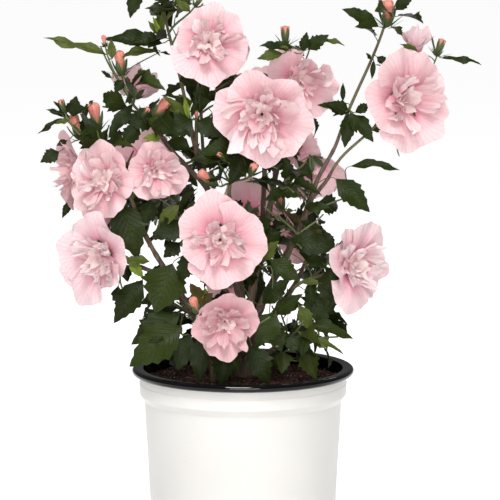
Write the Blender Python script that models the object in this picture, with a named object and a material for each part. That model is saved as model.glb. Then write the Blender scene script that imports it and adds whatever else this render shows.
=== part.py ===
"""A rose of sharon in bloom, in its nursery pot.

The pot, its rolled rim and the soil are turned solids.  The shrub is a short trunk, boughs that
leave it or each other, and masses of foliage at the ends of the boughs.  A limb is one tapering
tube on a curve between its parent and its tip.  A mass grows by one seeded rule: a stem goes on
from the bough, shoots leave the stem for the blooms, the buds and the outer tips, more shoots
fill in between, and leaves stand along them all.  Each mass keeps to its own space.

Metres, +Z up.  The origin is the centre of the pot's underside and the front faces -Y.
Places in the tables are millimetres, read through mm().
"""
import itertools
import math
import random
from collections import namedtuple

import bmesh
import bpy
import numpy as np
from mathutils import Matrix, Vector
from mathutils.bvhtree import BVHTree

CLEAR = 0.0003          # between two pieces that meet
END_CLEAR = 0.0004      # between the end of a limb and what grows on from it

# ---------------------------------------------------------------- pot, rim and soil
POT_HEIGHT = 0.220
RIM_RADIUS = 0.1175     # outside of the rolled rim
RIM_DEPTH = 0.0075      # height of the roll
COLLAR_RADIUS = 0.1095  # plain band under the roll
COLLAR_FOOT = 0.192     # where the band starts to step in
BODY_TOP = 0.1045       # radius of the body under the step
BASE_RADIUS = 0.0945
STEP_FOOT = 0.185
WALL = 0.0022
FLOOR = 0.003
LINER = 0.0014          # black inner wall, part of the rim
LINER_DEPTH = 0.022
SOIL_LEVEL = 0.209
SOIL_MOUND = 0.002      # rise of the soil towards the trunk
SOIL_CROWN = 0.060      # radius of the flat middle that the stems stand on
DRAIN_COUNT = 6
DRAIN_RADIUS = 0.006
DRAIN_CIRCLE = 0.078
POT_SIDES = 32

# ---------------------------------------------------------------- shrub
GOLDEN = math.radians(137.5)
LIMB_SIDES = 5
STEM_SIDES = 4
TWIG_SIDES = 3
LIMB_STEP = 0.045       # length of one straight piece of a limb
TRUNK_STEP = 0.008
TWIG_STEP = 0.042
SLACK = 0.36            # how far a bend keeps to its end directions
FLARE = 1.55            # the trunk's foot against its waist
FLARE_HEIGHT = 0.016
STEM_RADIUS = 0.0021
STEM_TIP = 0.0014
TWIG_RADIUS = 0.0014
TWIG_TIP = 0.0011
LEAF_GAP = 0.0190       # along a shoot, from leaf to leaf
LEAF_LENGTH = 0.060     # stalk and blade
LEAF_BREADTH = 0.70     # against the length
LEAF_THICK = 0.0012
LEAF_ARCH = 0.13        # rise of the blade over its chord, against the length
LEAF_SUNK = 0.003       # how far its root runs back inside the twig
LEAF_FIRST = 0.014      # from the foot of a shoot to its first leaf
LEAF_STALK = 0.1        # part of a leaf that may touch its own twig
LEAF_TRIES = 7          # angles that a leaf is tried at
LEAF_SIZES = (1.0, 0.8, 0.62)
FILL_LENGTH = 0.052
BUD_BREADTH = 0.26      # radius against the length
BLOOM_SIDES = 8
RUFFLE = 0.07
# Rings of a bloom from calyx to tuft: radius and height along its axis, against the diameter.
BLOOM_RINGS = [(0, -0.30), (0.10, -0.25), (0.50, -0.03), (0.36, 0.11), (0, 0.12)]
SEED = 7

# ---------------------------------------------------------------- spaces
STEM_BALL = 0.026
HEART_BALL = 0.034
TIP_BALL = 0.028
LEAF_BALL = 0.018
BUD_BALL = 0.016
SPACE_GAP = 0.00022     # least difference of distance squared between two masses
LIMB_CLEAR = 0.0008
RIM_CLEAR = 0.0025      # kept over the pot and the soil by leaves


def mm(*place):
    """A place in millimetres as a vector in metres."""
    return Vector(place) * 0.001


# Limb: parent, how far up it, tip in mm, foot radius and tip radius in mm.
# "soil" is rooted at the x, y that stands in place of how far.
LIMBS = {
    "trunk": ("soil", (3, 2), (6, 4, 258), 10.0, 9.2),
    "bough_left": ("soil", (-31, -34), (-112, -17, 388), 4.0, 2.5),
    "bough_left_low": ("bough_left", 0.60, (-116, -34, 337), 2.3, 2.0),
    "bough_centre": ("trunk", 1.00, (36, 10, 436), 4.4, 2.6),
    "bough_left_tall": ("trunk", 0.90, (-60, -3, 500), 4.2, 2.6),
    "bough_left_mid": ("bough_left_tall", 0.62, (-88, -6, 470), 2.3, 2.1),
    "bough_right": ("trunk", 0.82, (74, -1, 407), 4.4, 3.2),
    "bough_right_tall": ("bough_right", 1.00, (100, 1, 462), 2.8, 2.4),
    "bough_right_bloom": ("bough_right", 0.93, (92, -8, 426), 2.4, 2.2),
    "bough_right_low": ("trunk", 0.55, (50, -16, 301), 3.0, 2.4),
    "bough_front": ("trunk", 0.70, (-8, -42, 318), 3.2, 2.4),
    "bough_front_low": ("trunk", 0.35, (-12, -44, 249), 2.8, 2.3),
    "bough_front_tall": ("bough_front", 0.72, (-14, -34, 404), 2.4, 2.2),
    "bough_low_left": ("trunk", 0.45, (-46, 4, 268), 2.8, 2.3),
    "bough_low_right": ("trunk", 0.30, (34, -26, 243), 2.8, 2.3),
    "bough_back": ("trunk", 0.52, (-6, 76, 330), 3.6, 2.6),
    "bough_back_left": ("trunk", 0.77, (-68, 84, 378), 3.6, 2.4),
    "bough_back_right": ("trunk", 0.44, (66, 72, 318), 3.6, 2.4),
    "bough_back_top": ("bough_centre", 0.45, (24, 76, 440), 2.8, 2.3),
}

# Bloom: centre in mm, the way it faces as azimuth and elevation in degrees (0, 0 is the front,
# azimuth grows to the right), diameter in mm and how far it is open.
# Bud: centre in mm and length in mm.  Tip: the end of a leafy shoot in mm.
# Leaf: the end of one leaf in mm.  Heart: the end of the mass's own stem in mm.
# Fill: how many more shoots the rule adds.  Bare: the part of the stem without leaves.
MASSES = {
    "foliage_left": dict(
        bough="bough_left", heart=(-138, -6, 440), fill=1,
        blooms=[((-147, -45, 422), -6, 6, 76, 1.0), ((-88, -36, 430), 34, 0, 66, 0.9),
                ((-184, 0, 428), -78, -4, 88, 0.9)],
        buds=[((-174, -2, 474), 30), ((-153, -22, 486), 32)],
        tips=[(-190, -8, 490), (-130, 30, 430)],
        leaves=[(-212, -30, 474), (-180, -14, 506), (-196, -20, 520)]),
    "foliage_left_low": dict(
        bough="bough_left_low", heart=(-142, -30, 350), fill=1,
        blooms=[((-152, -56, 342), -32, -4, 92, 1.0)], buds=[],
        tips=[(-124, -18, 302), (-150, 4, 356)],
        leaves=[(-138, -28, 282), (-114, -30, 286)]),
    "foliage_upper_left": dict(
        bough="bough_left_mid", heart=(-116, -8, 500), fill=1,
        blooms=[((-112, 6, 514), 176, 46, 58, 0.8)],
        buds=[((-127, -14, 541), 28), ((-86, -14, 493), 30)],
        tips=[(-148, -4, 558), (-72, -24, 470)],
        leaves=[(-197, -14, 565), (-164, -12, 530)]),
    "foliage_top_left": dict(
        bough="bough_left_tall", heart=(-84, -4, 606), fill=1, bare=0.6,
        blooms=[], buds=[((-57, -8, 612), 26), ((-94, -6, 640), 20)],
        tips=[(-92, -8, 585)],
        leaves=[(-118, 2, 594)]),
    "foliage_top_centre": dict(
        bough="bough_left_tall", along=0.80, heart=(-46, -20, 534), fill=1,
        blooms=[((-32, -42, 566), 4, 8, 84, 1.0)], buds=[],
        tips=[(-36, 16, 560), (-46, -22, 500)], leaves=[(-7, -14, 519)]),
    "foliage_centre": dict(
        bough="bough_front_tall", heart=(2, -40, 468), fill=2,
        blooms=[((18, -76, 489), -8, -6, 100, 1.0)],
        buds=[((10, -62, 434), 22), ((-36, -46, 424), 26)],
        tips=[(-44, -32, 452), (36, -46, 434)], leaves=[(-14, -60, 418)]),
    "foliage_centre_right": dict(
        bough="bough_centre", heart=(48, 14, 500), fill=1,
        blooms=[((64, -6, 522), 4, -16, 78, 0.9)],
        buds=[((44, -6, 569), 22)],
        tips=[(72, 10, 562), (28, 14, 552)], leaves=[(96, 18, 476)]),
    "foliage_top_right": dict(
        bough="bough_right_tall", heart=(146, 2, 586), fill=0, bare=0.8,
        blooms=[], buds=[((150, -4, 598), 32), ((172, 4, 640), 22)],
        tips=[(168, 8, 618)],
        leaves=[(118, -2, 588), (150, 4, 548)]),
    "foliage_right": dict(
        bough="bough_right_bloom", heart=(148, -2, 488), fill=0, bare=0.9,
        blooms=[((175, -18, 502), 16, 0, 104, 1.0), ((186, 34, 552), 10, 66, 44, 0.45),
                ((178, 58, 500), 120, 6, 86, 1.0)],
        buds=[((206, 14, 556), 20)],
        tips=[(192, 34, 520)], leaves=[(128, -16, 384), (166, -14, 432), (246, 2, 540)]),
    "foliage_right_mid": dict(
        bough="bough_right", along=0.78, heart=(74, 34, 408), fill=2,
        blooms=[((78, 50, 416), 150, -52, 60, 0.6)], buds=[],
        tips=[(52, 52, 400)], leaves=[]),
    "foliage_middle_right": dict(
        bough="bough_right", along=0.48, heart=(58, -26, 366), fill=2,
        blooms=[], buds=[],
        tips=[(36, -40, 386), (84, -20, 384), (60, -50, 352)],
        leaves=[(20, -46, 392), (92, -34, 366)]),
    "foliage_middle": dict(
        bough="bough_centre", along=0.74, heart=(46, -26, 424), fill=2,
        blooms=[], buds=[],
        tips=[(40, -52, 414), (66, -24, 440)], leaves=[(78, -32, 424)]),
    "foliage_middle_left": dict(
        bough="bough_left_tall", along=0.36, heart=(-58, -20, 366), fill=2,
        blooms=[], buds=[],
        tips=[(-72, -36, 392), (-84, 10, 360), (-54, -40, 348)],
        leaves=[(-84, -46, 344)]),
    "foliage_right_low": dict(
        bough="bough_right_low", heart=(96, -20, 328), fill=1,
        blooms=[((124, -28, 329), 46, 2, 92, 1.0), ((112, 40, 316), 116, 4, 72, 1.0)], buds=[],
        tips=[(76, -36, 304)], leaves=[(98, -4, 288)]),
    "foliage_front": dict(
        bough="bough_front", heart=(-14, -72, 350), fill=2,
        blooms=[((-21, -98, 366), 4, 5, 92, 1.0)], buds=[],
        tips=[(-58, -62, 350), (28, -68, 336)], leaves=[(52, -66, 326)]),
    "foliage_front_low": dict(
        bough="bough_front_low", heart=(-14, -78, 270), fill=2,
        blooms=[((-17, -102, 280), 2, -4, 76, 0.75)], buds=[((-48, -104, 300), 22)],
        tips=[(-56, -84, 300), (28, -84, 286)], leaves=[(14, -84, 228)]),
    "foliage_low_left": dict(
        bough="bough_low_left", heart=(-76, -8, 290), fill=2,
        blooms=[], buds=[],
        tips=[(-92, -46, 266), (-62, -22, 312), (-62, -56, 262)],
        leaves=[(-120, -52, 230), (-108, -30, 252), (-70, -62, 230), (-38, -84, 232),
                (-96, 22, 322)]),
    "foliage_low_right": dict(
        bough="bough_low_right", heart=(54, -42, 262), fill=2,
        blooms=[], buds=[],
        tips=[(34, -66, 252), (62, -60, 278), (80, -34, 260), (30, -50, 292)],
        leaves=[(108, -30, 242), (100, -48, 230), (56, -84, 236)]),
    "foliage_back": dict(
        bough="bough_back", heart=(-6, 124, 346), fill=2,
        blooms=[((8, 156, 368), 172, 8, 90, 1.0), ((-38, 132, 300), 206, -6, 80, 0.9)],
        buds=[((22, 146, 316), 24)],
        tips=[(32, 112, 300), (-46, 104, 340)], leaves=[(14, 122, 262)]),
    "foliage_back_left": dict(
        bough="bough_back_left", heart=(-98, 116, 410), fill=2,
        blooms=[((-118, 144, 424), 212, 8, 90, 1.0), ((-148, 88, 366), 262, -2, 84, 0.9)],
        buds=[((-74, 132, 462), 26)],
        tips=[(-146, 70, 416), (-66, 138, 404), (-84, 90, 448)], leaves=[(-176, 104, 410)]),
    "foliage_back_right": dict(
        bough="bough_back_right", heart=(84, 112, 322), fill=2,
        blooms=[((66, 150, 338), 158, 8, 88, 1.0)],
        buds=[((40, 128, 382), 24)],
        tips=[(104, 88, 306), (48, 92, 366)], leaves=[(122, 120, 286)]),
    "foliage_back_top": dict(
        bough="bough_back_top", heart=(26, 118, 478), fill=2,
        blooms=[((28, 152, 492), 174, 14, 90, 1.0), ((44, 108, 430), 140, 0, 72, 0.9)],
        buds=[((0, 112, 512), 26)],
        tips=[(-22, 108, 462), (60, 100, 508)], leaves=[(-44, 118, 440)]),
    "foliage_back_high": dict(
        bough="bough_left_tall", along=0.66, heart=(-46, 66, 520), fill=2,
        blooms=[((-36, 104, 548), 184, 22, 84, 1.0), ((-92, 62, 430), 238, 4, 72, 0.9)],
        buds=[((-44, 70, 584), 24)],
        tips=[(-20, 60, 492), (-64, 84, 480)], leaves=[(-86, 96, 500)]),
    "foliage_low_back": dict(
        bough="trunk", along=0.22, heart=(-30, 58, 262), fill=2,
        blooms=[], buds=[],
        tips=[(-72, 60, 280), (-8, 84, 262), (-50, 84, 256)], leaves=[(-96, 66, 250)]),
    "foliage_low_back_right": dict(
        bough="trunk", along=0.12, heart=(56, 30, 256), fill=2,
        blooms=[], buds=[],
        tips=[(84, 30, 280), (60, 70, 268), (84, 54, 254)], leaves=[(102, 46, 242)]),
}


# ---------------------------------------------------------------- materials and objects
def material(name, color, roughness):
    """A Principled material in one plain colour."""
    made = bpy.data.materials.new(name)
    made.use_nodes = True
    shader = made.node_tree.nodes["Principled BSDF"]
    shader.inputs["Base Color"].default_value = (*color, 1.0)
    shader.inputs["Roughness"].default_value = roughness
    shader.inputs["Metallic"].default_value = 0.0
    return made


def add_object(name, shape, finish=None):
    """A new object from a bmesh, which it frees."""
    mesh = bpy.data.meshes.new(name)
    bmesh.ops.recalc_face_normals(shape, faces=shape.faces)
    shape.to_mesh(mesh)
    shape.free()
    if finish:
        mesh.materials.append(finish)
    piece = bpy.data.objects.new(name, mesh)
    bpy.context.scene.collection.objects.link(piece)
    return piece


def evaluated_mesh(piece):
    """The mesh of an object with its modifiers applied."""
    graph = bpy.context.evaluated_depsgraph_get()
    return bpy.data.meshes.new_from_object(piece.evaluated_get(graph))


def apply_modifiers(piece):
    """Gives an object the mesh that its modifiers make, and drops them."""
    mesh = evaluated_mesh(piece)
    piece.modifiers.clear()
    piece.data = mesh


# ---------------------------------------------------------------- turned solids
def turned(name, profile, finish):
    """A solid of revolution about +Z from a closed profile of (radius, height)."""
    shape = bmesh.new()
    corners = [shape.verts.new((radius, 0.0, height)) for radius, height in profile]
    ring = [shape.edges.new(pair) for pair in zip(corners, corners[1:] + corners[:1])]
    bmesh.ops.spin(shape, geom=corners + ring, cent=(0, 0, 0), axis=(0, 0, 1),
                   angle=math.tau, steps=POT_SIDES, use_merge=True)
    bmesh.ops.remove_doubles(shape, verts=shape.verts, dist=0.00001)
    bmesh.ops.dissolve_degenerate(shape, edges=shape.edges, dist=0.00001)
    piece = add_object(name, shape, finish)
    piece.data.shade_smooth()
    piece.data.set_sharp_from_angle(angle=math.radians(35))
    return piece


def arc(centre, radius, first, last, steps):
    """Points on an arc in the profile plane; the angles are degrees."""
    turns = [math.radians(first + (last - first) * i / steps) for i in range(steps + 1)]
    return [(centre[0] + radius * math.cos(t), centre[1] + radius * math.sin(t)) for t in turns]


def body_radius(height):
    """Outside radius of the tapered body at a height."""
    return BASE_RADIUS + (BODY_TOP - BASE_RADIUS) * height / STEP_FOOT


def make_pot(plastic):
    """The white pot: floor with drain holes, tapered body, step and plain collar."""
    top = POT_HEIGHT - RIM_DEPTH - CLEAR
    inner_step = COLLAR_RADIUS - WALL
    outside = [(0, 0), (BASE_RADIUS - 0.003, 0), (body_radius(0.003), 0.003),
               (BODY_TOP, STEP_FOOT), (COLLAR_RADIUS, COLLAR_FOOT), (COLLAR_RADIUS, top)]
    inside = [(inner_step, top), (inner_step, COLLAR_FOOT + 0.001),
              (BODY_TOP - WALL, STEP_FOOT - 0.001), (body_radius(FLOOR) - WALL, FLOOR), (0, FLOOR)]
    pot = turned("pot_body", outside + inside, plastic)
    holes = bmesh.new()
    for index in range(DRAIN_COUNT):
        turn = math.tau * (index + 0.5) / DRAIN_COUNT
        place = Vector((DRAIN_CIRCLE * math.cos(turn), DRAIN_CIRCLE * math.sin(turn), FLOOR / 2))
        bmesh.ops.create_cone(holes, cap_ends=True, segments=8, radius1=DRAIN_RADIUS,
                              radius2=DRAIN_RADIUS, depth=FLOOR * 3,
                              matrix=Matrix.Translation(place))
    cut_away(pot, add_object("drain_holes", holes))
    return pot


def make_rim(plastic):
    """The black rolled rim, with the black liner that shows above the soil."""
    roll = RIM_DEPTH / 2
    centre = (RIM_RADIUS - roll, POT_HEIGHT - roll)
    liner_out = COLLAR_RADIUS - WALL - CLEAR
    liner_foot = POT_HEIGHT - LINER_DEPTH
    outside = arc(centre, roll, -90, 90, 4)
    inside = [(liner_out - LINER, POT_HEIGHT - 0.001), (liner_out - LINER, liner_foot),
              (liner_out, liner_foot), (liner_out, POT_HEIGHT - RIM_DEPTH)]
    return turned("pot_rim", outside + inside, plastic)


def make_soil(earth):
    """The soil that fills the pot, 0.3 mm clear of it, a little higher at the trunk."""
    liner_in = COLLAR_RADIUS - WALL - CLEAR - LINER
    shoulder = POT_HEIGHT - LINER_DEPTH - CLEAR
    wide = liner_in - CLEAR
    profile = [(0, FLOOR + CLEAR), (body_radius(FLOOR) - WALL - CLEAR, FLOOR + CLEAR),
               (BODY_TOP - WALL - 2 * CLEAR, STEP_FOOT - 0.001), (wide, shoulder),
               (wide, SOIL_LEVEL - SOIL_MOUND), (SOIL_CROWN, SOIL_LEVEL), (0, SOIL_LEVEL)]
    return turned("soil", profile, earth)


# ---------------------------------------------------------------- curves and tubes
Limb = namedtuple("Limb", "path ways radii")


def bend(start, leaving, end, arriving, step):
    """Points and directions on a smooth bend between two places with given end directions."""
    reach = (end - start).length
    first = start + leaving * reach * SLACK
    last = end - arriving * reach * SLACK
    steps = max(2, round(reach / step))
    path = []
    for index in range(steps + 1):
        t = index / steps
        s = 1.0 - t
        path.append(start * s ** 3 + first * 3 * s * s * t + last * 3 * s * t * t + end * t ** 3)
    ways = [(after - before).normalized() for before, after in zip(path, path[2:])]
    return path, [leaving] + ways + [arriving]


def along(limb, part):
    """Place, direction and radius a part (0 to 1) of the way up a limb."""
    place = part * (len(limb.path) - 1)
    index = min(int(place), len(limb.path) - 2)
    rest = place - index
    spot = limb.path[index].lerp(limb.path[index + 1], rest)
    way = limb.ways[index].lerp(limb.ways[index + 1], rest).normalized()
    return spot, way, limb.radii[index] * (1.0 - rest) + limb.radii[index + 1] * rest


def tapered(path, ways, foot, tip):
    """A limb with an even taper."""
    last = len(path) - 1
    return Limb(path, ways, [foot + (tip - foot) * index / last for index in range(last + 1)])


def square_to(way):
    """A direction square to another, much the same for directions that are much the same."""
    guide = Vector((1.0, 0.0, 0.0)) if abs(way.x) < 0.8 else Vector((0.0, 1.0, 0.0))
    return (guide - way * guide.dot(way)).normalized()


def tube(limb, sides, clearance=0.0):
    """A closed tapering tube: a capped circle whose edge is extruded from ring to ring."""
    shape = bmesh.new()
    side = square_to(limb.ways[0])
    spots = list(limb.path)
    spots[0] = spots[0] - limb.ways[0] * clearance
    spots[-1] = spots[-1] + limb.ways[-1] * clearance
    rings = []
    for spot, way, radius in zip(spots, limb.ways, limb.radii):
        side = (side - way * side.dot(way)).normalized()
        size = radius + clearance / math.cos(math.pi / sides)
        turn = Matrix((side * size, way.cross(side) * size, way)).transposed().to_4x4()
        rings.append(Matrix.Translation(spot) @ turn)
    bmesh.ops.create_circle(shape, cap_ends=True, segments=sides, radius=1.0, matrix=rings[0])
    rim = list(shape.edges)
    for before, after in zip(rings, rings[1:]):
        made = bmesh.ops.extrude_edge_only(shape, edges=rim)["geom"]
        corners = [item for item in made if isinstance(item, bmesh.types.BMVert)]
        rim = [item for item in made if isinstance(item, bmesh.types.BMEdge)
               and item.verts[0] in corners and item.verts[1] in corners]
        bmesh.ops.transform(shape, matrix=after @ before.inverted(), verts=corners)
    bmesh.ops.edgeloop_fill(shape, edges=rim)
    return shape


# ---------------------------------------------------------------- Booleans
def cut_away(piece, cutter):
    """Takes one closed object out of another, and removes the cutter."""
    cut = piece.modifiers.new("cut", "BOOLEAN")
    cut.operation = "DIFFERENCE"
    cut.solver = "EXACT"
    cut.object = cutter
    apply_modifiers(piece)
    bpy.data.objects.remove(cutter)


def cut_clear(piece, limbs):
    """Cuts a piece clear of each limb in a list that comes too near to it."""
    for limb in limbs:
        cutter = tube(limb, LIMB_SIDES, CLEAR)
        faces = [list(face.vertices) for face in piece.data.polygons]
        own = BVHTree.FromPolygons([corner.co for corner in piece.data.vertices], faces)
        if own.overlap(BVHTree.FromBMesh(cutter)):
            cut_away(piece, add_object("cutter", cutter))
        else:
            cutter.free()


def fuse(name, shapes, finish):
    """One solid from many closed shapes: a union on the collection that holds them."""
    pieces = [add_object(f"{name}_{index}", shape) for index, shape in enumerate(shapes)]
    whole = pieces.pop(0)
    others = bpy.data.collections.new(name + "_pieces")
    for piece in pieces:
        others.objects.link(piece)
    union = whole.modifiers.new("union", "BOOLEAN")
    union.operation = "UNION"
    union.solver = "EXACT"
    union.operand_type = "COLLECTION"
    union.collection = others
    apply_modifiers(whole)
    for piece in pieces:
        bpy.data.objects.remove(piece)
    bpy.data.collections.remove(others)
    whole.name = name
    whole.data.name = name
    whole.data.materials.clear()
    whole.data.materials.append(finish)
    return whole


def keep_main_shell(piece):
    """Drops loose scraps and fills sealed hollows: only the largest outer shell stays."""
    shape = bmesh.new()
    shape.from_mesh(piece.data)
    waiting = set(shape.faces)
    shells = []
    while waiting:
        queue = [waiting.pop()]
        shell = []
        while queue:
            face = queue.pop()
            shell.append(face)
            near = {other for edge in face.edges for other in edge.link_faces} & waiting
            waiting -= near
            queue.extend(near)
        shells.append(shell)
    main = max(shells, key=len)
    spare = [face for shell in shells if shell is not main for face in shell]
    bmesh.ops.delete(shape, geom=spare, context="FACES")
    bmesh.ops.triangulate(shape, faces=shape.faces)
    shape.to_mesh(piece.data)
    shape.free()


# ---------------------------------------------------------------- limbs
def grow_limb(name, limbs):
    """The curve and radii of one limb from its row and its parent."""
    parent, place, tip, foot, end = LIMBS[name]
    tip = mm(*tip)
    rise = Vector((0.0, 0.0, 1.0))
    if parent == "soil":
        start = mm(*place, 0) + Vector((0.0, 0.0, SOIL_LEVEL + CLEAR))
        leaving = rise
    else:
        start, leaving, _ = along(limbs[parent], place)
        if place < 1.0:
            leaving = (leaving * 0.4 + (tip - start).normalized()).normalized()
        else:
            start = start + leaving * END_CLEAR
    arriving = ((tip - start).normalized() + rise * 0.45).normalized()
    step = TRUNK_STEP if name == "trunk" else LIMB_STEP
    limb = tapered(*bend(start, leaving, tip, arriving, step), foot * 0.001, end * 0.001)
    if name == "trunk":
        swell = [1.0 + (FLARE - 1.0) * math.exp((start.z - spot.z) / FLARE_HEIGHT)
                 for spot in limb.path]
        limb = Limb(limb.path, limb.ways, [r * s for r, s in zip(limb.radii, swell)])
    return limb


def make_limb(name, limbs, bark):
    """One bough as a solid, cut clear of the limb it leaves and of the boughs beside it."""
    piece = add_object(name, tube(limbs[name], LIMB_SIDES), bark)
    cut_clear(piece, [limbs[other] for other in itertools.takewhile(name.__ne__, LIMBS)])
    keep_main_shell(piece)
    return piece


# ---------------------------------------------------------------- spaces
class Spaces:
    """Which mass a place belongs to, and whether it is clear of the limbs and the pot.

    Each mass owns a few balls.  A place belongs to the mass whose ball is nearest, measured by
    distance squared less radius squared, so two masses always meet on a plane.
    """

    def __init__(self, limbs):
        self.names = list(MASSES)
        balls = [(index, spot, size) for index, name in enumerate(self.names)
                 for spot, size in self.balls(name, limbs)]
        self.owner = np.array([ball[0] for ball in balls])
        self.centre = np.array([tuple(ball[1]) for ball in balls])
        self.size = np.array([ball[2] for ball in balls])
        rods = [(a, b, max(r, s)) for limb in limbs.values() for a, b, r, s in
                zip(limb.path, limb.path[1:], limb.radii, limb.radii[1:])]
        self.foot = np.array([tuple(rod[0]) for rod in rods])
        self.rod = np.array([tuple(rod[1]) for rod in rods]) - self.foot
        self.thick = np.array([rod[2] for rod in rods])

    def balls(self, name, limbs):
        """The balls of one mass: its stem, heart, blooms, buds, tips and outer leaves."""
        row = MASSES[name]
        foot, _, _ = along(limbs[row["bough"]], row.get("along", 1.0))
        heart = mm(*row["heart"])
        yield foot.lerp(heart, 0.5), STEM_BALL
        yield heart, HEART_BALL
        for bloom in row["blooms"]:
            yield mm(*bloom[0]), bloom[3] * 0.0005
        for place, _ in row["buds"]:
            yield mm(*place), BUD_BALL
        for place in row["tips"]:
            yield mm(*place), TIP_BALL
        for place in row["leaves"]:
            yield mm(*place).lerp(heart, 0.3), LEAF_BALL

    def holds(self, name, places):
        """True if every place lies well inside the space of the mass."""
        spots = np.array([tuple(place) for place in places])
        power = ((spots[:, None] - self.centre[None]) ** 2).sum(2) - self.size ** 2
        mine = self.owner == self.names.index(name)
        return bool((power[:, mine].min(1) + SPACE_GAP < power[:, ~mine].min(1)).all())

    def clear(self, places, margin=LIMB_CLEAR):
        """True if every place is clear of the limbs, the pot and the soil."""
        spots = np.array([tuple(place) for place in places])
        away = spots[:, None] - self.foot[None]
        part = (away * self.rod).sum(2) / (self.rod ** 2).sum(1)
        off = away - np.clip(part, 0.0, 1.0)[..., None] * self.rod
        limbs = (np.sqrt((off ** 2).sum(2)) - self.thick > margin).all()
        wide = np.hypot(spots[:, 0], spots[:, 1]) > RIM_RADIUS - 0.018
        floor = np.where(wide, POT_HEIGHT + RIM_CLEAR, SOIL_LEVEL + RIM_CLEAR)
        return bool(limbs and (spots[:, 2] > floor).all())


# ---------------------------------------------------------------- leaves, buds and blooms
def leaf_places(root, tip):
    """Root, tip, two sides, top and bottom of a leaf that arches over its chord."""
    chord = tip - root
    length = chord.length
    side = chord.cross(Vector((0.0, 0.0, 1.0)))
    if side.length < length * 0.2:
        side = chord.cross(square_to(chord.normalized()))
    side.normalize()
    over = side.cross(chord).normalized()
    middle = root.lerp(tip, 0.56) + over * length * LEAF_ARCH
    half = side * length * LEAF_BREADTH / 2
    thick = over * LEAF_THICK / 2
    return root, tip, middle - half, middle + half, middle + thick, middle - thick


def leaf_shape(places):
    """A leaf of eight faces: the six corners of a small sphere put in place."""
    root, tip, left, right, top, bottom = places
    shape = bmesh.new()
    bmesh.ops.create_uvsphere(shape, u_segments=4, v_segments=2, radius=1.0)
    for corner in shape.verts:
        x, y, z = (round(value) for value in corner.co)
        corner.co = {(-1, 0, 0): root, (1, 0, 0): tip, (0, -1, 0): left, (0, 1, 0): right,
                     (0, 0, 1): top, (0, 0, -1): bottom}[x, y, z]
    return shape


def bud_shape(centre, way, length):
    """A bud in its calyx: a slim egg."""
    shape = bmesh.new()
    turn = way.to_track_quat("Z", "Y").to_matrix().to_4x4()
    size = Matrix.Diagonal((length * BUD_BREADTH, length * BUD_BREADTH, length / 2, 1.0))
    bmesh.ops.create_uvsphere(shape, u_segments=4, v_segments=3, radius=1.0,
                              matrix=Matrix.Translation(centre) @ turn @ size)
    return shape


def facing(azimuth, elevation):
    """A direction from its azimuth (0 is the front) and elevation in degrees."""
    turn = math.radians(azimuth)
    lift = math.radians(elevation)
    return Vector((math.sin(turn) * math.cos(lift), -math.cos(turn) * math.cos(lift),
                   math.sin(lift)))


def bloom_shape(row, dice, fits):
    """A double bloom: a sphere whose rings become calyx, petal edge and centre tuft."""
    place, azimuth, elevation, diameter, spread = row
    centre = mm(*place)
    size = diameter * 0.001
    lean = math.radians(90.0 * spread)
    out, up = math.sin(lean), math.cos(lean)
    way = facing(azimuth, elevation)
    turn = way.to_track_quat("Z", "Y").to_matrix()
    shape = bmesh.new()
    last = len(BLOOM_RINGS) - 1
    bmesh.ops.create_uvsphere(shape, u_segments=BLOOM_SIDES, v_segments=last, radius=1.0)
    for corner in shape.verts:
        ring = round(math.acos(max(-1.0, min(1.0, -corner.co.z))) / math.pi * last)
        reach, lift = BLOOM_RINGS[ring]
        flat = Vector((corner.co.x, corner.co.y, 0.0))
        if ring in (0, last):
            flat = Vector()
        else:
            flat.normalize()
        ruffle = dice.uniform(-RUFFLE, RUFFLE) if ring in (2, 3) else 0.0
        wide = reach * (out if ring > 1 else 1.0) * (1.0 + ruffle)
        high = lift * (out if ring > 2 else 1.0) + (reach * up if ring > 1 else 0.0) + ruffle * 0.3
        spot = centre + turn @ ((flat * wide + Vector((0.0, 0.0, high))) * size)
        heart = centre - way * size * 0.1
        while not fits([spot.lerp(heart, -0.02)]):
            spot = spot.lerp(heart, 0.06)
        corner.co = spot
    return shape


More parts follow.
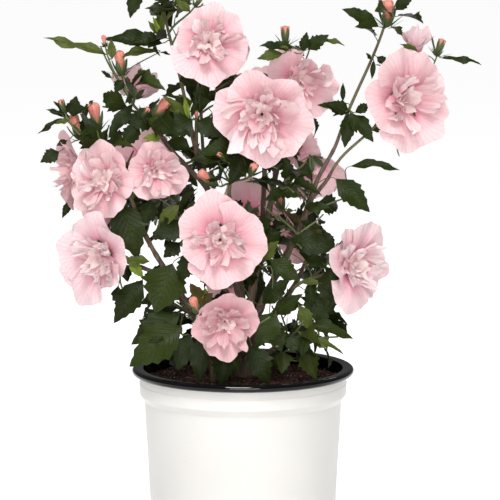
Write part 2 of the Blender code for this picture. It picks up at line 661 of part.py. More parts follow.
# ---------------------------------------------------------------- masses
class Mass:
    """One mass of foliage, grown by its rule into a list of closed shapes."""

    def __init__(self, name, limbs, spaces):
        self.name = name
        self.row = MASSES[name]
        self.spaces = spaces
        self.dice = random.Random(SEED + list(MASSES).index(name))
        self.shapes = []
        self.solids = []
        self.shoots = []
        self.limbs = limbs
        self.bough = limbs[self.row["bough"]]
        self.part = self.row.get("along", 1.0)
        self.heart = mm(*self.row["heart"])
        foot, leaving, thick = along(self.bough, self.part)
        outward = (self.heart - foot).normalized()
        if self.part < 1.0:
            leaving = (leaving * 0.3 + outward).normalized()
        else:
            foot = foot + leaving * END_CLEAR
        arriving = (outward + Vector((0.0, 0.0, 0.4))).normalized()
        path, ways = bend(foot, leaving, self.heart, arriving, TWIG_STEP)
        stem = tapered(path, ways, min(STEM_RADIUS, thick * 0.95), STEM_TIP)
        self.add(tube(stem, STEM_SIDES))
        self.stem = stem

    def add(self, shape):
        """Keeps a shape for the union and its surface for the tests."""
        self.shapes.append(shape)
        self.solids.append(BVHTree.FromBMesh(shape))

    def fits(self, places, margin=LIMB_CLEAR):
        """True if the places are the mass's own and touch no limb."""
        return self.spaces.holds(self.name, places) and self.spaces.clear(places, margin)

    def hides_bloom(self, places):
        """True if a place lies on or before the face of one of the mass's blooms."""
        for centre, azimuth, elevation, diameter, _ in self.row["blooms"]:
            way = facing(azimuth, elevation)
            for place in places:
                away = place - mm(*centre)
                ahead = away.dot(way)
                if ahead > -0.004 and (away - way * ahead).length < diameter * 0.00045:
                    return True
        return False

    def shoot(self, end, arriving):
        """A shoot from the best place on the stem to an end."""
        def cost(part):
            spot, way, _ = along(self.stem, part)
            return (end - spot).length * (1.7 - way.dot((end - spot).normalized()))
        spot, way, thick = along(self.stem, min((0.2 + 0.12 * step for step in range(7)), key=cost))
        leaving = (way * 0.4 + (end - spot).normalized()).normalized()
        path, ways = bend(spot, leaving, end, arriving.normalized(), TWIG_STEP)
        shoot = tapered(path, ways, min(TWIG_RADIUS, thick * 0.9), TWIG_TIP)
        self.shoots.append((shoot, len(self.shapes)))
        self.add(tube(shoot, TWIG_SIDES))

    def leaf(self, spot, way, tip, own):
        """One leaf if it stays in the space, clear of limbs, blooms, twigs and other leaves."""
        root = spot - way * LEAF_SUNK
        places = leaf_places(root, tip)
        outer = list(places[1:]) + [places[2].lerp(tip, 0.5), places[3].lerp(tip, 0.5),
                                    root.lerp(places[2], 0.5), root.lerp(places[3], 0.5)]
        if self.hides_bloom(outer) or not self.fits(outer):
            return False
        shape = leaf_shape(places)
        blade = shape.copy()
        for corner in blade.verts:
            corner.co = corner.co.lerp(tip, LEAF_STALK)
        surface = BVHTree.FromBMesh(blade)
        blade.free()
        if any(surface.overlap(solid) for index, solid in enumerate(self.solids) if index != own):
            shape.free()
            return False
        self.shapes.append(shape)
        self.solids.append(surface)
        return True

    def leaves_along(self, shoot, own, first):
        """Leaves in turn around a shoot, each at the first angle where it fits."""
        length = sum((b - a).length for a, b in zip(shoot.path, shoot.path[1:]))
        count = max(1, round((length - first) / LEAF_GAP))
        for index in range(count):
            part = min(0.96, (first + index * (length - first) / count) / length)
            spot, way, _ = along(shoot, part)
            side = square_to(way)
            size = LEAF_LENGTH * self.dice.uniform(0.85, 1.15) * (1.0 - 0.3 * part)
            start = self.dice.uniform(0.0, math.tau)
            for less, attempt in itertools.product(LEAF_SIZES, range(LEAF_TRIES)):
                turn = start + index * GOLDEN + attempt * math.tau / LEAF_TRIES
                out = side * math.cos(turn) + way.cross(side) * math.sin(turn)
                reach = (way * 0.55 + out + Vector((0.0, 0.0, -0.12))).normalized()
                if self.leaf(spot, way, spot + reach * size * less, own):
                    break

    def outer_leaf(self, tip):
        """A leaf to a given tip, from the place on a shoot that is a leaf's length away."""
        places = [(abs((along(limb, part / 8)[0] - tip).length - LEAF_LENGTH), part / 8, limb, own)
                  for limb, own in self.shoots + [(self.stem, 0)] for part in range(1, 8)]
        for _, part, limb, own in sorted(places, key=lambda place: place[0])[:8]:
            spot, way, _ = along(limb, part)
            if self.leaf(spot, way, tip, own):
                return

    def fill(self, index):
        """A shoot that leaves the stem at the next golden angle, if it fits."""
        spot, way, _ = along(self.stem, (index + 0.6) / self.row["fill"])
        side = square_to(way)
        for attempt in range(LEAF_TRIES):
            turn = index * GOLDEN + attempt * math.tau / LEAF_TRIES
            out = side * math.cos(turn) + way.cross(side) * math.sin(turn)
            reach = (out + way * 0.5 + Vector((0.0, 0.0, 0.25))).normalized()
            end = spot + reach * FILL_LENGTH * self.dice.uniform(0.8, 1.2)
            if self.fits([spot.lerp(end, 0.5), end], 0.004) and not self.hides_bloom([end]):
                self.shoot(end, reach)
                return

    def grow(self):
        """Shoots for blooms, buds, tips and outer leaves first, then shoots that fill in."""
        rise = Vector((0.0, 0.0, 1.0))
        for row in self.row["blooms"]:
            way = facing(*row[1:3])
            self.shoot(mm(*row[0]) - way * row[3] * 0.00024, way)
            self.add(bloom_shape(row, self.dice, lambda spots: self.fits(spots, 0.0)))
        for place, length in self.row["buds"]:
            centre = mm(*place)
            way = ((centre - self.heart).normalized() + rise * 1.3).normalized()
            self.shoot(centre - way * length * 0.0003, way)
            self.add(bud_shape(centre, way, length * 0.001))
        for place in self.row["tips"]:
            end = mm(*place)
            self.shoot(end, (end - self.heart).normalized() + rise * 0.4)
        for index in range(self.row["fill"]):
            self.fill(index)
        for place in self.row["leaves"]:
            self.outer_leaf(mm(*place))
        for shoot, own in self.shoots:
            self.leaves_along(shoot, own, LEAF_FIRST)
        bare = self.row.get("bare", 0.0) * (self.heart - self.stem.path[0]).length
        self.leaves_along(self.stem, 0, max(bare, LEAF_FIRST * 0.6))

    def make(self, finish):
        """The mass as one solid, cut clear of the limbs that it comes near."""
        piece = fuse(self.name, self.shapes, finish)
        cut_clear(piece, self.limbs.values())
        keep_main_shell(piece)
        return piece


# ---------------------------------------------------------------- the plant in its pot
def main():
    """Builds every piece."""
    for piece in list(bpy.data.objects):
        bpy.data.objects.remove(piece)
    white = material("pot_white", (0.86, 0.84, 0.80), 0.35)
    black = material("pot_black", (0.012, 0.012, 0.014), 0.3)
    earth = material("soil_brown", (0.055, 0.028, 0.018), 0.95)
    bark = material("bark", (0.16, 0.105, 0.06), 0.8)
    leafage = material("leaf_and_bloom", (0.07, 0.15, 0.035), 0.6)
    make_pot(white)
    make_rim(black)
    make_soil(earth)
    limbs = {}
    for name in LIMBS:
        limbs[name] = grow_limb(name, limbs)
    for name in LIMBS:
        make_limb(name, limbs, bark)
    spaces = Spaces(limbs)
    for name in MASSES:
        mass = Mass(name, limbs, spaces)
        mass.grow()
        mass.make(leafage)


main()
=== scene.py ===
# %% [markdown]
# A rose of sharon in full bloom, in its nursery pot.  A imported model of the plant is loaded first:
# it fixes every size and place.  The cells after that dress it, from the pot upwards: the pot and
# its rim, the soil, the boughs with their bark, the twigs, the leaves, the buds and the blooms.
# The model's plain limbs and masses are only replaced by finer pieces that grow by the same rule.

import itertools
import math
import random
from collections import namedtuple

import bmesh
import bpy
import numpy as np
from mathutils import Matrix, Vector


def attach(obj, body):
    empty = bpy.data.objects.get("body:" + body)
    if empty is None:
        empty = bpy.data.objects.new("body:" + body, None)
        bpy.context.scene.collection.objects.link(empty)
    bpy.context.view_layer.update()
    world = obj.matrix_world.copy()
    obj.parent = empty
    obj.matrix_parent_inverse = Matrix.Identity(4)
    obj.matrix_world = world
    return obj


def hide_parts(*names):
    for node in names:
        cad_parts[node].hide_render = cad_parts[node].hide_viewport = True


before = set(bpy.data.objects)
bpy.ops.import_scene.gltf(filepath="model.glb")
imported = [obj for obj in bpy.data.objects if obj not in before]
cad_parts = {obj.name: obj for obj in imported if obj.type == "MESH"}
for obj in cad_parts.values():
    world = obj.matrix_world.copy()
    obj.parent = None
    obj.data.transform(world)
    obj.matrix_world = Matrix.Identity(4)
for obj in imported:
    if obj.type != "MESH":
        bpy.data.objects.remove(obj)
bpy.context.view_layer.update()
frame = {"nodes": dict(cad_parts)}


# %% [markdown]
# The camera stands 2.5 m in front of the plant, a little above it, and looks down by about seven
# degrees.  A near camera with a short lens would make the pot flare and the front blooms swell.
# From this far off, with a long lens, the pot's sides stay nearly parallel.

# %% Camera
CAMERA_PLACE = (0.00741, -2.5, 0.66082)
CAMERA_DOWN = math.radians(7.2274)
LENS = 172.457
SENSOR = 36.0

lens = bpy.data.cameras.new("camera")
lens.lens = LENS
lens.sensor_width = SENSOR
camera = bpy.data.objects.new("camera", lens)
camera.location = CAMERA_PLACE
camera.rotation_euler = (math.pi / 2 - CAMERA_DOWN, 0, 0)
bpy.context.scene.collection.objects.link(camera)
bpy.context.scene.camera = camera


# %% [markdown]
# A pattern on a surface is a sum of noises and stripes.  Its Math nodes could be made and linked
# one by one, but that hides the sum.  One small class wraps a socket instead, so that a sum of two
# values adds the Math node for it.

# %% Sums of sockets
class Value:
    """A number or vector that leaves a node, which can be added, multiplied and compared."""

    def __init__(self, finish, socket):
        self.finish = finish
        self.socket = socket

    def maths(self, operation, other=0.0, turned=False):
        pair = [other, self] if turned else [self, other]
        return self.finish.node("ShaderNodeMath", {"operation": operation}, pair)

    def __add__(self, other):
        return self.maths("ADD", other)

    def __sub__(self, other):
        return self.maths("SUBTRACT", other)

    def __rsub__(self, other):
        return self.maths("SUBTRACT", other, turned=True)

    def __mul__(self, other):
        return self.maths("MULTIPLY", other)

    def __truediv__(self, other):
        return self.maths("DIVIDE", other)

    def __gt__(self, other):
        return self.maths("GREATER_THAN", other)

    def __abs__(self):
        return self.maths("ABSOLUTE")

    __radd__ = __add__
    __rmul__ = __mul__


# %% [markdown]
# Every surface here is one Principled shader.  Its single values are set once, and what changes
# over the surface is fed in: colour, roughness and relief.  One method makes any other node from
# its type, its settings and what goes into its sockets, so each finish below stays a few lines.

# %% Finishes
class Finish:
    """A material on the Principled shader, and the nodes that feed it."""

    def __init__(self, name, color=(0.8, 0.8, 0.8), roughness=0.5, **settings):
        self.material = bpy.data.materials.new(name)
        self.material.use_nodes = True
        self.tree = self.material.node_tree
        self.shader = self.tree.nodes["Principled BSDF"]
        self.shader.inputs["Base Color"].default_value = (*color, 1.0)
        self.shader.inputs["Roughness"].default_value = roughness
        for socket, value in settings.items():
            self.shader.inputs[socket.replace("_", " ")].default_value = value

    def node(self, kind, settings=None, inputs=(), output=0):
        made = self.tree.nodes.new(kind)
        for key, value in (settings or {}).items():
            if key == "stops":
                ramp = made.color_ramp.elements
                while len(ramp) < len(value):
                    ramp.new(1.0)
                for element, (place, color) in zip(ramp, value):
                    element.position = place
                    element.color = (*color, 1.0)
            elif key == "interpolation":
                made.color_ramp.interpolation = value
            else:
                setattr(made, key, value)
        pairs = inputs.items() if isinstance(inputs, dict) else enumerate(inputs)
        for key, value in pairs:
            if isinstance(value, Value):
                self.tree.links.new(value.socket, made.inputs[key])
            else:
                made.inputs[key].default_value = value
        return Value(self, made.outputs[output])

    def feed(self, **sockets):
        for name, value in sockets.items():
            self.tree.links.new(value.socket, self.shader.inputs[name.replace("_", " ")])

    def place(self):
        """Object coordinates."""
        return self.node("ShaderNodeTexCoord", output="Object")

    def stretched(self, where, scale):
        """A place scaled along each axis."""
        return self.node("ShaderNodeMapping", inputs={"Vector": where, "Scale": scale})

    def noise(self, where, scale, detail=3.0, rough=0.5):
        return self.node("ShaderNodeTexNoise", inputs={
            "Vector": where, "Scale": scale, "Detail": detail, "Roughness": rough})

    def ramp(self, factor, stops, interpolation="LINEAR"):
        return self.node("ShaderNodeValToRGB",
                         {"stops": stops, "interpolation": interpolation}, [factor])

    def blend(self, factor, first, second, how="MIX"):
        """A mix of two colours."""
        first, second = ((*value, 1.0) if isinstance(value, tuple) else value
                         for value in (first, second))
        return self.node("ShaderNodeMix", {"data_type": "RGBA", "blend_type": how},
                         {0: factor, 6: first, 7: second}, output=2)

    def relief(self, height, depth, strength=1.0):
        """Sets the normal from a height between 0 and 1 that stands for a depth in metres."""
        bump = self.node("ShaderNodeBump", inputs={
            "Height": height, "Distance": depth, "Strength": strength})
        self.feed(Normal=bump)


# %% [markdown]
# Each piece is put into the scene the same way: the mesh carries its place, the object sits at the
# origin, the piece rides on the plant's one body, it takes its finishes, and the parts of the model
# that it stands for are hidden.  An object could be moved or turned instead of its mesh, but then a
# pattern that follows the object's own coordinates would move with it.

# %% Put a piece into the scene
def show(name, mesh, finishes, nodes=()):
    """Makes the object of a finished mesh, gives it its finishes and hides the parts of the model
    that it stands for.
    """
    mesh.name = name
    for finish in finishes:
        mesh.materials.append(finish.material)
    piece = bpy.data.objects.new(name, mesh)
    bpy.context.scene.collection.objects.link(piece)
    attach(piece, "root")
    if nodes:
        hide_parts(*nodes)
    faces = len(mesh.polygons)
    print(f"{name}: {faces} faces")
    return piece


def finished(shape, smooth=35.0):
    """A mesh from a bmesh, smooth except across its sharp edges."""
    bmesh.ops.recalc_face_normals(shape, faces=shape.faces)
    mesh = bpy.data.meshes.new("mesh")
    shape.to_mesh(mesh)
    shape.free()
    mesh.shade_smooth()
    mesh.set_sharp_from_angle(angle=math.radians(smooth))
    return mesh


# %% [markdown]
# A pot is a wall of even thickness that turns round a middle.  Stacked cylinders and cones would
# leave seams at each change of width.  A profile, drawn once with the outside going up and the
# inside coming down, gives one closed wall when it is spun, and its corners can be rounded before.
# What isn't round, such as a drain hole, is drilled afterwards with a Boolean.

# %% Spin and drill
ROUND_STEPS = 128


def spun(profile, steps=ROUND_STEPS, edge=0.0):
    """A closed profile of (radius, height) spun about the middle, its corners rounded first."""
    shape = bmesh.new()
    corners = [shape.verts.new((radius, 0.0, height)) for radius, height in profile]
    for pair in zip(corners, corners[1:] + corners[:1]):
        shape.edges.new(pair)
    if edge:
        bends = [corner for corner in corners if corner.co.x > edge * 2]
        bmesh.ops.bevel(shape, geom=bends, offset=edge, segments=3, profile=0.5,
                        affect="VERTICES", material=-1)
    bmesh.ops.spin(shape, geom=shape.verts[:] + shape.edges[:], cent=(0, 0, 0), axis=(0, 0, 1),
                   angle=math.tau, steps=steps, use_merge=True)
    bmesh.ops.remove_doubles(shape, verts=shape.verts, dist=0.00001)
    bmesh.ops.dissolve_degenerate(shape, edges=shape.edges, dist=0.00001)
    return shape


def drilled(shape, drills):
    """A closed shape less the drills; both shapes are used up."""
    pair = []
    for part in (shape, drills):
        mesh = bpy.data.meshes.new("part")
        bmesh.ops.recalc_face_normals(part, faces=part.faces)
        part.to_mesh(mesh)
        part.free()
        pair.append(bpy.data.objects.new("part", mesh))
        bpy.context.scene.collection.objects.link(pair[-1])
    cut = pair[0].modifiers.new("cut", "BOOLEAN")
    cut.operation = "DIFFERENCE"
    cut.solver = "EXACT"
    cut.object = pair[1]
    seen = pair[0].evaluated_get(bpy.context.evaluated_depsgraph_get())
    left = bmesh.new()
    left.from_mesh(seen.to_mesh())
    seen.to_mesh_clear()
    for part in pair:
        mesh = part.data
        bpy.data.objects.remove(part)
        bpy.data.meshes.remove(mesh)
    return left


# %% [markdown]
# The pot is moulded plastic: a tapered body, a step where the next pot of a stack would stop, a
# plain collar under the rim, and six drain holes in its floor.  Two fine beads run round it, one
# under the rim and one on the step, which catch the light as lines.

# %% Pot
POT_HEIGHT = 0.220
RIM_RADIUS = 0.1175
RIM_DEPTH = 0.0075
COLLAR_RADIUS = 0.1095
COLLAR_FOOT = 0.192
BODY_TOP = 0.1045
BASE_RADIUS = 0.0945
STEP_FOOT = 0.185
WALL = 0.0022
FLOOR = 0.003
LINER = 0.0014
LINER_DEPTH = 0.022
CLEAR = 0.0003
ROUNDED_EDGE = 0.0008
FOOT_EDGE = 0.003
STEP_WALL = 0.001
# Bead: its radius round the pot and its height.
COLLAR_BEAD = (COLLAR_RADIUS, 0.2035)
STEP_BEAD = (0.108, 0.1905)
BEAD = 0.0005
DRAIN_COUNT = 6
DRAIN_RADIUS = 0.006
DRAIN_CIRCLE = 0.078
DRAIN_SIDES = 32


def body_radius(height):
    return BASE_RADIUS + (BODY_TOP - BASE_RADIUS) * height / STEP_FOOT


top = POT_HEIGHT - RIM_DEPTH - CLEAR
outside = [(0, 0), (BASE_RADIUS - FOOT_EDGE, 0), (body_radius(FOOT_EDGE), FOOT_EDGE),
           (BODY_TOP, STEP_FOOT), (COLLAR_RADIUS, COLLAR_FOOT), (COLLAR_RADIUS, top)]
inside = [(COLLAR_RADIUS - WALL, top), (COLLAR_RADIUS - WALL, COLLAR_FOOT + STEP_WALL),
          (BODY_TOP - WALL, STEP_FOOT - STEP_WALL), (body_radius(FLOOR) - WALL, FLOOR), (0, FLOOR)]
drills = bmesh.new()
for index in range(DRAIN_COUNT):
    turn = math.tau * (index + 0.5) / DRAIN_COUNT
    place = Vector((DRAIN_CIRCLE * math.cos(turn), DRAIN_CIRCLE * math.sin(turn), FLOOR / 2))
    bmesh.ops.create_cone(drills, cap_ends=True, segments=DRAIN_SIDES, radius1=DRAIN_RADIUS,
                          radius2=DRAIN_RADIUS, depth=FLOOR * 3, matrix=Matrix.Translation(place))
pot = drilled(spun(outside + inside, edge=ROUNDED_EDGE), drills)
print("drain holes:", DRAIN_COUNT)
for radius, height in (COLLAR_BEAD, STEP_BEAD):
    bead = spun([(radius - BEAD, height - BEAD), (radius + BEAD * 0.7, height),
                 (radius - BEAD, height + BEAD)])
    bead_mesh = bpy.data.meshes.new("bead")
    bead.to_mesh(bead_mesh)
    bead.free()
    pot.from_mesh(bead_mesh)
    bpy.data.meshes.remove(bead_mesh)
pot_mesh = finished(pot)


# %% [markdown]
# The plastic is a warm white with a soft shine.  One flat colour would look like paint on glass,
# so slow clouds shift it a little, thin scuffs run round it where pots rub in a stack, and a very
# fine relief breaks up the shine.

# %% Pot finish
white = Finish("pot_white", roughness=0.34, IOR=1.36)
spot = white.place()
cloud = white.noise(spot, 9.0, 2.0)
scuff = white.noise(white.stretched(spot, (30.0, 30.0, 260.0)), 1.0, 4.0, 0.6)
paint = white.ramp(cloud, [(0.3, (0.785, 0.765, 0.730)), (0.7, (0.825, 0.808, 0.775))])
white.feed(Base_Color=white.blend((scuff > 0.70) * 0.12, paint, (0.62, 0.59, 0.54)),
           Roughness=0.26 + cloud * 0.12)
white.relief(white.noise(spot, 900.0, 2.0), 0.00004, 0.35)
show("pot", pot_mesh, [white], ["pot_body"])


# %% [markdown]
# The rim is black.  It is rolled outwards into a round edge, which is where the pot is lifted,
# and the wall inside it shows black above the soil.  A torus would give the roll but not the wall,
# so it is spun like the pot, from an arc for the roll and a thin wall that hangs inside the collar.

# %% Rim
def arc(centre, radius, first, last, steps):
    """Points on an arc in the profile; the angles are degrees."""
    turns = [math.radians(first + (last - first) * i / steps) for i in range(steps + 1)]
    return [(centre[0] + radius * math.cos(t), centre[1] + radius * math.sin(t)) for t in turns]


ROLL_STEPS = 14
LINER_DROP = 0.001
roll = RIM_DEPTH / 2
liner_out = COLLAR_RADIUS - WALL - CLEAR
liner_foot = POT_HEIGHT - LINER_DEPTH
rim = arc((RIM_RADIUS - roll, POT_HEIGHT - roll), roll, -90, 90, ROLL_STEPS)
rim += [(liner_out - LINER, POT_HEIGHT - LINER_DROP), (liner_out - LINER, liner_foot),
        (liner_out, liner_foot), (liner_out, POT_HEIGHT - RIM_DEPTH)]
black = Finish("rim_black", (0.002, 0.002, 0.003), 0.08, IOR=1.45)
worn = black.noise(black.place(), 60.0, 4.0)
black.feed(Roughness=0.03 + worn * 0.08)
black.relief(black.noise(black.place(), 700.0, 2.0), 0.00003, 0.4)
show("rim", finished(spun(rim)), [black], ["pot_rim"])


# %% [markdown]
# Crumbs, leaves and petals are small shapes made hundreds of times.  Copies that share one mesh
# would all be alike, and what is kept has to be plain meshes.  So each small shape is made once
# with bmesh and read as an array of points, every copy is bent in its own way by sums on that
# array, and all the copies of a kind are joined into one mesh.

# %% Join many small shapes
class Joined:
    """Many copies of small shapes, each bent in its own way, joined into one mesh."""

    def __init__(self):
        self.points = []
        self.faces = []
        self.maps = []
        self.paints = []
        self.count = 0

    def add(self, points, faces, places=None, paint=0):
        """One copy: its points, the pattern's faces, the map place of each point, its finish."""
        self.points.append(np.asarray(points, dtype=np.float32))
        self.maps.append(np.zeros((len(points), 2)) if places is None else places)
        for group in faces:
            self.faces.append(group + self.count)
            self.paints.append(np.full(len(group), paint))
        self.count += len(points)

    def mesh(self):
        """One mesh of all the copies, smooth, with the map that the finishes read."""
        made = bpy.data.meshes.new("joined")
        sizes = np.concatenate([np.full(len(group), group.shape[1]) for group in self.faces])
        loops = np.concatenate([group.ravel() for group in self.faces])
        made.vertices.add(self.count)
        made.vertices.foreach_set("co", np.concatenate(self.points).ravel())
        made.loops.add(len(loops))
        made.loops.foreach_set("vertex_index", loops.astype(np.int32))
        made.polygons.add(len(sizes))
        starts = np.concatenate([[0], np.cumsum(sizes)[:-1]])
        made.polygons.foreach_set("loop_start", starts.astype(np.int32))
        made.polygons.foreach_set("material_index",
                                  np.concatenate(self.paints).astype(np.int32))
        made.update(calc_edges=True)
        layer = made.uv_layers.new(name="OFBake")
        layer.data.foreach_set("uv", np.concatenate(self.maps)[loops].ravel())
        made.shade_smooth()
        made.validate()
        return made


def pattern(shape):
    """The points of a small shape and its faces, grouped by their number of corners; frees it."""
    shape.verts.index_update()
    points = np.array([tuple(corner.co) for corner in shape.verts])
    faces = [[corner.index for corner in face.verts] for face in shape.faces]
    sizes = sorted({len(face) for face in faces})
    shape.free()
    return points, [np.array([face for face in faces if len(face) == size]) for size in sizes]


# %% [markdown]
# Potting mix is dark composted bark, a little higher in the middle and lumpy.  A flat disc would
# show as one, so the body of the mix is spun with many rings on top, and each corner up there is
# set to the mound's height plus its lumps.

# %% Soil
SOIL_LEVEL = 0.209
SOIL_MOUND = 0.002
SOIL_CROWN = 0.060
SOIL_SINK = 0.0013
LUMP_HEIGHT = 0.0007
ROUGH_HEIGHT = 0.0006
SOIL_SIDES = 96
SOIL_RINGS = 34
dice = random.Random(11)
noise = np.random.default_rng(11)
soil_wide = liner_out - LINER - CLEAR


def smooth_step(value, low, high):
    """0 below low, 1 above high, and a soft change between, on numbers or arrays."""
    part = np.clip((value - low) / (high - low), 0.0, 1.0)
    return part * part * (3.0 - 2.0 * part)


def soil_height(x, y):
    """Height of the soil, with its mound and its lumps."""
    mound = SOIL_MOUND * (1.0 - smooth_step(math.hypot(x, y), SOIL_CROWN, soil_wide))
    lumps = math.sin(x * 210 + 1.3 * math.sin(y * 170)) * math.sin(y * 240 + x * 90)
    return SOIL_LEVEL - SOIL_MOUND + mound - SOIL_SINK + lumps * LUMP_HEIGHT


under = BODY_TOP - WALL - 2 * CLEAR
shoulder = POT_HEIGHT - LINER_DEPTH - CLEAR
rings = [(soil_wide * (1 - (i / SOIL_RINGS) ** 0.9), SOIL_LEVEL) for i in range(SOIL_RINGS + 1)]
soil = spun([(0, FLOOR + CLEAR), (body_radius(FLOOR) - WALL - CLEAR, FLOOR + CLEAR),
             (under, STEP_FOOT - STEP_WALL), (soil_wide, shoulder)] + rings, SOIL_SIDES)
for corner in soil.verts:
    if corner.co.z > shoulder + SOIL_MOUND / 2:
        rough = noise.uniform(-ROUGH_HEIGHT, ROUGH_HEIGHT)
        corner.co.z = soil_height(corner.co.x, corner.co.y) + rough
soil_mesh = finished(soil, 180.0)
print("soil corners:", len(soil_mesh.vertices))


# %% [markdown]
# Thousands of crumbs of bark and a few white grains lie on the mix.  A relief in the finish alone
# would look flat from close by.  Each crumb is a ball of twenty faces, squashed and turned at
# random, so that no two catch the light alike.

# %% Crumbs
CRUMB_COUNT = 3400
CRUMB_SIZES = (0.0007, 0.0022)
CRUMB_SPREAD = 0.985
CRUMB_PAINTS = (0, 0, 1, 1, 2)
GRAIN_COUNT = 260
GRAIN_SIZES = (0.0005, 0.0011)
GRAIN_PAINT = 3


def turned_at_random(points):
    """The points turned by a random amount about each axis."""
    turn = Matrix.Rotation(dice.uniform(0, math.tau), 3, "X")
    turn = turn @ Matrix.Rotation(dice.uniform(0, math.tau), 3, "Z")
    return points @ np.array(turn)


ball = bmesh.new()
bmesh.ops.create_icosphere(ball, subdivisions=1, radius=1.0)
BALL, BALL_FACES = pattern(ball)
crumbs = Joined()
for index in range(CRUMB_COUNT + GRAIN_COUNT):
    grain = index >= CRUMB_COUNT
    away = soil_wide * math.sqrt(dice.random()) * CRUMB_SPREAD
    turn = dice.uniform(0, math.tau)
    x, y = away * math.cos(turn), away * math.sin(turn)
    size = dice.uniform(*(GRAIN_SIZES if grain else CRUMB_SIZES))
    shape = BALL * np.array([size, size * dice.uniform(0.4, 0.9), size * dice.uniform(0.3, 0.8)])
    shape = shape * noise.uniform(0.8, 1.2, (len(BALL), 1))
    lift = soil_height(x, y) + size * dice.uniform(0.0, 0.5)
    crumbs.add(turned_at_random(shape) + (x, y, lift), BALL_FACES,
               paint=GRAIN_PAINT if grain else dice.choice(CRUMB_PAINTS))


# %% [markdown]
# Damp bark is dark red-brown and quite matt.  The mix between the crumbs is coloured by one fine
# noise, which also gives its relief, and each crumb takes one of four plain colours.

# %% Soil finish
earth = Finish("soil_mix", roughness=0.95)
spot = earth.place()
lumps = earth.noise(spot, 420.0, 6.0, 0.7)
earth.feed(Base_Color=earth.ramp(lumps, [(0.35, (0.030, 0.014, 0.010)),
                                         (0.62, (0.130, 0.062, 0.043))]))
earth.relief(lumps, 0.0012, 0.9)
crumb_finishes = [Finish("crumb_dark", (0.022, 0.010, 0.008), 0.95),
                  Finish("crumb_brown", (0.080, 0.034, 0.025), 0.95),
                  Finish("crumb_bark", (0.150, 0.074, 0.055), 0.9),
                  Finish("grain_white", (0.68, 0.65, 0.60), 0.8)]
show("soil_top", soil_mesh, [earth], ["soil"])
crumb_mesh = crumbs.mesh()
crumb_mesh.shade_flat()
show("soil_crumbs", crumb_mesh, crumb_finishes)


# %% [markdown]
# A shrub is limbs that leave limbs.  They could be drawn one by one as long lists of points, but
# a limb is told well enough by where it starts on its parent, where its tip is and how thick it
# is at both ends.  Those are the rows below.

# %% Rows of the limbs
MM = 0.001


def mm(*place):
    """A place in millimetres as a vector in metres."""
    return Vector(place) * MM


# Limb: parent, how far up it, tip in mm, foot radius and tip radius in mm.
# "soil" is rooted at the x, y that stands in place of how far.
LIMBS = {
    "trunk": ("soil", (3, 2), (6, 4, 258), 10.0, 9.2),
    "bough_left": ("soil", (-31, -34), (-112, -17, 388), 4.0, 2.5),
    "bough_left_low": ("bough_left", 0.60, (-116, -34, 337), 2.3, 2.0),
    "bough_centre": ("trunk", 1.00, (36, 10, 436), 4.4, 2.6),
    "bough_left_tall": ("trunk", 0.90, (-60, -3, 500), 4.0, 2.0),
    "bough_left_mid": ("bough_left_tall", 0.62, (-88, -6, 470), 2.3, 2.1),
    "bough_right": ("trunk", 0.82, (74, -1, 407), 4.2, 2.6),
    "bough_right_tall": ("bough_right", 1.00, (100, 1, 462), 2.4, 1.9),
    "bough_right_bloom": ("bough_right", 0.93, (92, -8, 426), 2.2, 1.7),
    "bough_right_low": ("trunk", 0.55, (50, -16, 301), 3.0, 2.4),
    "bough_front": ("trunk", 0.70, (-8, -42, 318), 3.2, 2.4),
    "bough_front_low": ("trunk", 0.35, (-12, -44, 249), 2.8, 2.3),
    "bough_front_tall": ("bough_front", 0.72, (-14, -34, 404), 2.4, 2.2),
    "bough_low_left": ("trunk", 0.45, (-46, 4, 268), 2.8, 2.3),
    "bough_low_right": ("trunk", 0.30, (34, -26, 243), 2.8, 2.3),
    "bough_back": ("trunk", 0.52, (-6, 76, 330), 3.6, 2.6),
    "bough_back_left": ("trunk", 0.77, (-68, 84, 378), 3.6, 2.4),
    "bough_back_right": ("trunk", 0.44, (66, 72, 318), 3.6, 2.4),
    "bough_back_top": ("bough_centre", 0.45, (24, 76, 440), 2.8, 2.3),
}


# %% [markdown]
# Each limb grows from its row as a smooth bend: it leaves its parent partly along the parent's own
# way, and arrives at its tip turned a little upwards, as growing wood does.  A curve object would
# draw the same bend, but points, directions and radii in plain lists let the next limb, twig or
# leaf start from any place along it.

# %% Grow the limbs
LIMB_STEP = 0.0035
TWIG_STEP = 0.006
SLACK = 0.36
FLARE = 1.55
FLARE_HEIGHT = 0.016
END_CLEAR = 0.0004
CLING = 0.4
LIMB_LIFT = 0.45
Limb = namedtuple("Limb", "path ways radii")
UP = Vector((0.0, 0.0, 1.0))


def bend(start, leaving, end, arriving, step):
    """Points and directions on a smooth bend between two places with given end directions."""
    reach = (end - start).length
    first = start + leaving * reach * SLACK
    last = end - arriving * reach * SLACK
    steps = max(3, round(reach / step))
    path = []
    for index in range(steps + 1):
        t = index / steps
        s = 1.0 - t
        path.append(start * s ** 3 + first * 3 * s * s * t + last * 3 * s * t * t + end * t ** 3)
    ways = [(after - before).normalized() for before, after in zip(path, path[2:])]
    return path, [leaving] + ways + [arriving]


def along(limb, part):
    """Place, direction and radius a part (0 to 1) of the way up a limb."""
    place = part * (len(limb.path) - 1)
    index = min(int(place), len(limb.path) - 2)
    rest = place - index
    spot = limb.path[index].lerp(limb.path[index + 1], rest)
    way = limb.ways[index].lerp(limb.ways[index + 1], rest).normalized()
    return spot, way, limb.radii[index] * (1.0 - rest) + limb.radii[index + 1] * rest


def tapered(path, ways, foot, tip):
    """A limb with an even taper."""
    last = len(path) - 1
    return Limb(path, ways, [foot + (tip - foot) * index / last for index in range(last + 1)])


def square_to(way):
    """A direction square to another, much the same for directions that are much the same."""
    guide = Vector((1.0, 0.0, 0.0)) if abs(way.x) < 0.8 else Vector((0.0, 1.0, 0.0))
    return (guide - way * guide.dot(way)).normalized()


